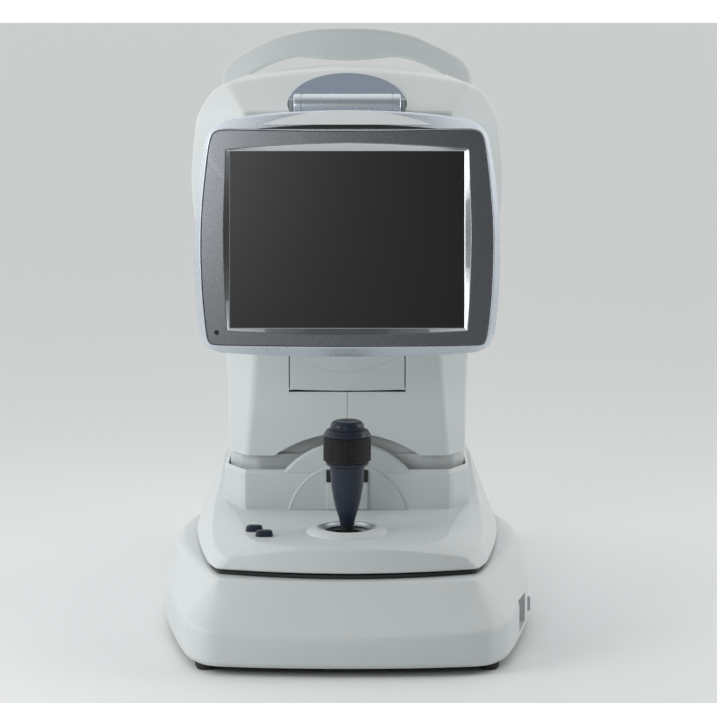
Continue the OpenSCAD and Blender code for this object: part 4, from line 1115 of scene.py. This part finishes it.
@dataclass
class PatientSide:
    """The bowed face frame, forehead pad, eye marks and chin rest."""

    bow_y: float = 437.0
    front_r: float = 250.0
    rear_r: float = 224.0
    chin_y: float = 208.0
    post_bore: float = 12.4
    spans: tuple = (
        (99, 62.2, 83, 62.2), (101, 120, 84.6, 120), (103.5, 200, 87, 200),
        (106, 268, 89.6, 268), (108.2, 330, 91.6, 330), (110.2, 380, 93.4, 376),
        (110.8, 404, 92.8, 399), (108.4, 419.5, 89.5, 410), (101, 428.8, 84.0, 416),
        (89, 435.8, 75.5, 421.0), (75, 442.6, 66, 425.2), (59, 449.6, 55, 429.2),
        (38, 454.6, 41, 431.4), (19, 456.6, 20, 429.6), (0, 456.95, 0, 428.7))

    def depth(self, radius: float, x: float) -> float:
        """How far back the bow of a radius lies beside the middle."""
        return self.bow_y - math.sqrt(radius * radius - x * x)

    def section(self, span: Sequence[float], edge: float = 4.5) -> Ring:
        """The frame's rounded cross-section between its outer and inner edge points."""
        xo, zo, xi, zi = span
        corners = [(xo, self.depth(self.front_r, xo), zo), (xo, self.depth(self.rear_r, xo), zo),
                   (xi, self.depth(self.rear_r, xi), zi), (xi, self.depth(self.front_r, xi), zi)]
        return outline([(*c, edge) for c in corners], 6)

    def frame(self) -> None:
        """The arch and its posts in one bowed piece, with the feet they stand on."""
        half = list(self.spans)
        path = [*half, *[(-a, b, -c, d) for a, b, c, d in reversed(half[:-1])]]
        smooth = []
        for i in range(len(path) - 1):
            a, b, c, d = (Vector(path[max(0, min(k, len(path) - 1))]) for k in
                          (i - 1, i, i + 1, i + 2))
            for t in (0, 0.25, 0.5, 0.75):
                smooth.append(0.5 * (2 * b + (c - a) * t + (2 * a - 5 * b + 4 * c - d) * t * t
                                     + (3 * b - a - 3 * c + d) * t ** 3))
        smooth.append(Vector(path[-1]))
        arch = loft("face_arch", [self.section(tuple(span)) for span in smooth])
        feet = []
        for side in (1, -1):
            rings = []
            for grow, z in ((0.0, 62.1), (0.0, 67.6), (-0.7, 69.4), (-2.0, 69.95)):
                x0, x1 = sorted((side * (80.2 - grow), side * (100.8 + grow)))
                rings.append(outline([(x0, 199.2 - grow, z, 5), (x1, 199.2 - grow, z, 5),
                                      (x1, 237.8 + grow, z, 5), (x0, 237.8 + grow, z, 5)], 5))
            feet.append(loft("foot", rings))
        dress(settle(joined("face_arch", [arch, *feet]), 30), "housing", "base", "face_frame")

    def pad(self) -> None:
        """The soft forehead pad, crowned along its face."""
        rings = []
        for i in range(33):
            t = -1 + 2 * i / 32
            x = 45.2 * t
            full = math.sqrt(max(1 - abs(t) ** 3.5, 0.02))
            low, high = 442.2 - 10.2 * full, 442.2 + 11.4 * full
            front, rear = self.depth(self.rear_r - 0.1, x), self.depth(218.0, x)
            rear = front + (rear - front) * (0.35 + 0.64 * full)
            rings.append(outline([(x, front, low, 3.2), (x, rear, low + 1.2, 5),
                                  (x, rear, high - 1.2, 5), (x, front, high, 3.2)], 6))
        pad = loft("brow_pad", rings)
        dress(settle(pad, 45), "white_silicone", "base", "forehead_pad")

    def cup(self) -> None:
        """The chin cup with its hollow, raised rim and two paper pins."""
        half = [(0, -33, 12), (26, -33, 12), (42, -26, 10), (46, -8, 10), (40, 16, 12),
                (24, 27, 12), (0, 29, 12)]

        def ring(inward: float, z: float, sink: float = 0.0) -> Ring:
            """The cup's outline at a height."""
            return [(x, y + self.chin_y, z - sink) for x, y, z in drawn_in(
                symmetric([(x, y, z, r) for x, y, r in half], 5), inward)]
        keys = [(ring(3.0, 176.1), 0), (ring(0.2, 176.4), 1.5), (ring(0.0, 190.5), 2.0),
                (ring(1.6, 193.9), 1.0), (ring(4.4, 193.6), 1.0), (ring(13, 187.4), 4),
                (ring(23, 184.3), 3), (ring(26.5, 184.0), 0)]
        cup = loft("chin_rest_cup", stacked(keys))
        pins = [turned("pin", [(0, 190), (1.5, 190), (1.5, 202.2), (1.1, 202.9), (0, 203)],
                       (x, 181.5, 0), steps=32) for x in (-36, 36)]
        dress(settle(joined("chin_rest_cup", [cup, *pins]), 35), "white_plastic", "chin_rest",
              "chin_cup")

    def column(self) -> None:
        """The chin rest's column with its flange."""
        half = [(0, -21, 8), (11, -21, 4), (18, -19, 4), (21, -12, 4), (21, 12, 4), (18, 19, 4),
                (11, 21, 4), (0, 21, 8)]

        def ring(grow: float, z: float) -> Ring:
            """The column's outline at a height, grown by a width."""
            return [(x, y + self.chin_y, z) for x, y, z in drawn_in(
                symmetric([(x, y, z, r) for x, y, r in half], 4), -grow)]
        keys = [(ring(7.5, 62.1), 0), (ring(7.8, 65.4), 0.8), (ring(6.9, 66.6), 0.8),
                (ring(1.2, 67.2), 1.5), (ring(0, 72), 3), (ring(0, 145.6), 0.8),
                (ring(-0.9, 147.6), 0.8), (ring(-3.2, 147.8), 0)]
        bore = [bored(ring(0, z), self.chin_y, self.post_bore, z) for z in (147.8, 62.1)]
        column = loft("chin_column", [*stacked(keys), *bore], "joined")
        dress(settle(column, 30), "housing", "base", "chinrest_column")

    def build(self) -> None:
        """Builds and dresses the patient's side."""
        self.frame()
        self.pad()
        self.cup()
        self.column()


# ---------- frame nodes carried over ----------


@dataclass(frozen=True)
class Carried:
    """A frame node whose form is right: its copy gets clean faces and softened edges."""

    node: str
    body: str
    slot: str
    edge: float = 0.3

    def build(self, frame: dict) -> None:
        """Copies the node, merges and softens the copy, and dresses it.
        """
        source = frame["nodes"][self.node]
        piece = bpy.data.objects.new(self.node + "_made", source.data.copy())
        piece.data.name = piece.name
        bpy.context.scene.collection.objects.link(piece)
        activate(piece)
        bpy.ops.object.mode_set(mode="EDIT")
        bpy.ops.mesh.select_all(action="SELECT")
        bpy.ops.mesh.remove_doubles(threshold=3 * MERGE)
        bpy.ops.mesh.dissolve_limited(angle_limit=math.radians(0.6))
        bpy.ops.object.mode_set(mode="OBJECT")
        if self.edge:
            soften(piece, self.edge, 35)
        dress(settle(piece, 32), self.slot, self.body, self.node)


CARRIED = (Carried("base_pan", "base", "pan_paint"), Carried("base_frame", "base",
    "cast_aluminium", 0.6), Carried("slide_racks", "base", "steel", 0.15),
    Carried("friction_plate", "base", "black_plastic"), Carried("port_panel", "base",
    "black_plastic"), Carried("power_inlet", "base", "black_plastic"), Carried("power_supply",
    "base", "sheet_steel"), Carried("main_board", "base", "circuit_board", 0.1),
    Carried("base_screws", "base", "steel", 0.3), Carried("chin_motor", "base", "motor_metal"),
    Carried("eye_level_marks", "base", "mark_print", 0.0), Carried("power_switch", "rocker",
    "switch_plastic", 0.4), Carried("stage_lock_knob", "lock_knob", "knob_metal", 0.5),
    Carried("chin_screw", "chin_drive", "steel"), Carried("chin_post", "chin_rest", "steel"),
    Carried("carriage_yoke", "carriage", "cast_aluminium", 0.5), Carried("cross_rods", "carriage",
    "steel"), Carried("pinion_axle", "axle", "steel", 0.1), Carried("stage_plate", "stage",
    "cast_aluminium", 0.5), Carried("joystick_socket", "stage", "steel_dark"),
    Carried("gimbal_ring", "gimbal", "steel_dark"), Carried("joystick_stick", "joystick",
    "black_plastic"), Carried("lift_rails", "stage", "steel"), Carried("lift_motor", "stage",
    "motor_metal"), Carried("lead_screw", "lift_drive", "steel"), Carried("head_chassis", "head",
    "cast_aluminium", 0.6), Carried("hinge_brackets", "head", "sheet_steel"),
    Carried("optics_barrel", "head", "black_anodised"), Carried("camera_module", "head",
    "black_anodised", 0.6), Carried("source_module", "head", "black_anodised", 0.6),
    Carried("printer_body", "head", "white_plastic", 0.4), Carried("paper_roll", "roll", "paper",
    0.2), Carried("platen_roller", "platen", "foot_rubber", 0.2),)


# ---------- studio ----------


@dataclass
class Studio:
    """The camera, the pale floor and the soft lights."""

    camera_at: Point = (0.0, -1.970, 0.495)
    tilt: float = 81.5
    lens: float = 123.5
    shift: float = 0.0158
    ambient: float = 1.08
    front_left: float = 0.22
    front_right: float = 0.03
    lights: tuple = (
        ("key", (-0.85, -0.50, 0.55), (0, -0.1, 0.2), 0.5, 2.9),
        ("front", (-0.40, -1.45, 0.72), (0, -0.2, 0.33), 0.35, 2.2),
        ("rim", (0.9, 0.0, 0.55), (0, 0.0, 0.3), 0.5, 1.6))

    def camera(self) -> None:
        """Sets the camera at the operator's side, a little above the display."""
        bpy.ops.object.camera_add(location=self.camera_at, rotation=(math.radians(self.tilt), 0,
            0))
        camera = bpy.context.object
        camera.data.lens = self.lens
        camera.data.sensor_width = 36.0
        camera.data.shift_x = self.shift
        camera.data.clip_end = 50.0
        bpy.context.scene.camera = camera

    def floor(self) -> None:
        """Lays the plain pale floor."""
        clear_selection()
        bpy.ops.mesh.primitive_grid_add(x_subdivisions=4, y_subdivisions=4, size=60.0)
        floor = named(bpy.context.object, "studio_floor")
        floor.data.materials.append(Finish("studio_white", "#eef0f0", 0.85, Grain.PAINTED,
            shade=0.0, wear=0.0, specular=0.1).material())

    def illuminate(self) -> None:
        """Hangs the soft lights and sets the even surroundings."""
        for name, at, to, size, power in self.lights:
            clear_selection()
            turn = (Vector(to) - Vector(at)).to_track_quat("-Z", "Y").to_euler()
            bpy.ops.object.light_add(type="AREA", location=at, rotation=turn)
            light = bpy.context.object
            light.name = name
            light.data.shape = "SQUARE"
            light.data.size = size
            light.data.energy = power
        self.surround()
        bpy.context.scene.view_settings.view_transform = "Standard"

    def surround(self) -> None:
        """Makes the even white surroundings, darker to the right behind the camera."""
        world = bpy.data.worlds.new("surroundings")
        world.use_nodes = True
        nodes, links = world.node_tree.nodes, world.node_tree.links
        split = nodes.new("ShaderNodeSeparateXYZ")
        links.new(nodes.new("ShaderNodeTexCoord").outputs["Generated"], split.inputs[0])

        def ramp(source: str, low: float, high: float, a: float, b: float,
                 ) -> bpy.types.NodeSocket:
            """A smooth change of strength along one direction."""
            node = nodes.new("ShaderNodeMapRange")
            node.interpolation_type = "SMOOTHSTEP"
            for socket, value in (("From Min", low), ("From Max", high), ("To Min", a),
                                  ("To Max", b)):
                node.inputs[socket].default_value = value
            links.new(split.outputs[source], node.inputs["Value"])
            return node.outputs["Result"]

        mix = nodes.new("ShaderNodeMix")
        links.new(ramp("Y", -0.65, 0.30, 1.0, 0.0), mix.inputs["Factor"])
        links.new(ramp("X", -0.6, 0.6, self.ambient, self.ambient * 0.92), mix.inputs["A"])
        links.new(ramp("X", -0.16, 0.06, self.front_left, self.front_right), mix.inputs["B"])
        links.new(mix.outputs["Result"], nodes["Background"].inputs["Strength"])
        nodes["Background"].inputs["Color"].default_value = (1, 1, 1, 1)
        bpy.context.scene.world = world

    def build(self) -> None:
        """Sets up the whole studio."""
        self.camera()
        self.floor()
        self.illuminate()


def main() -> None:
    """Builds the instrument round its frame."""
    logging.basicConfig(level=logging.INFO, format="%(message)s")
    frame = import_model()
    clear_selection()
    Studio().build()
    Base().build()
    Stage().build()
    Joystick().build()
    Head().build()
    Display().build()
    PatientSide().build()
    for carried in CARRIED:
        carried.build(frame)


if __name__ == "__main__":
    main()
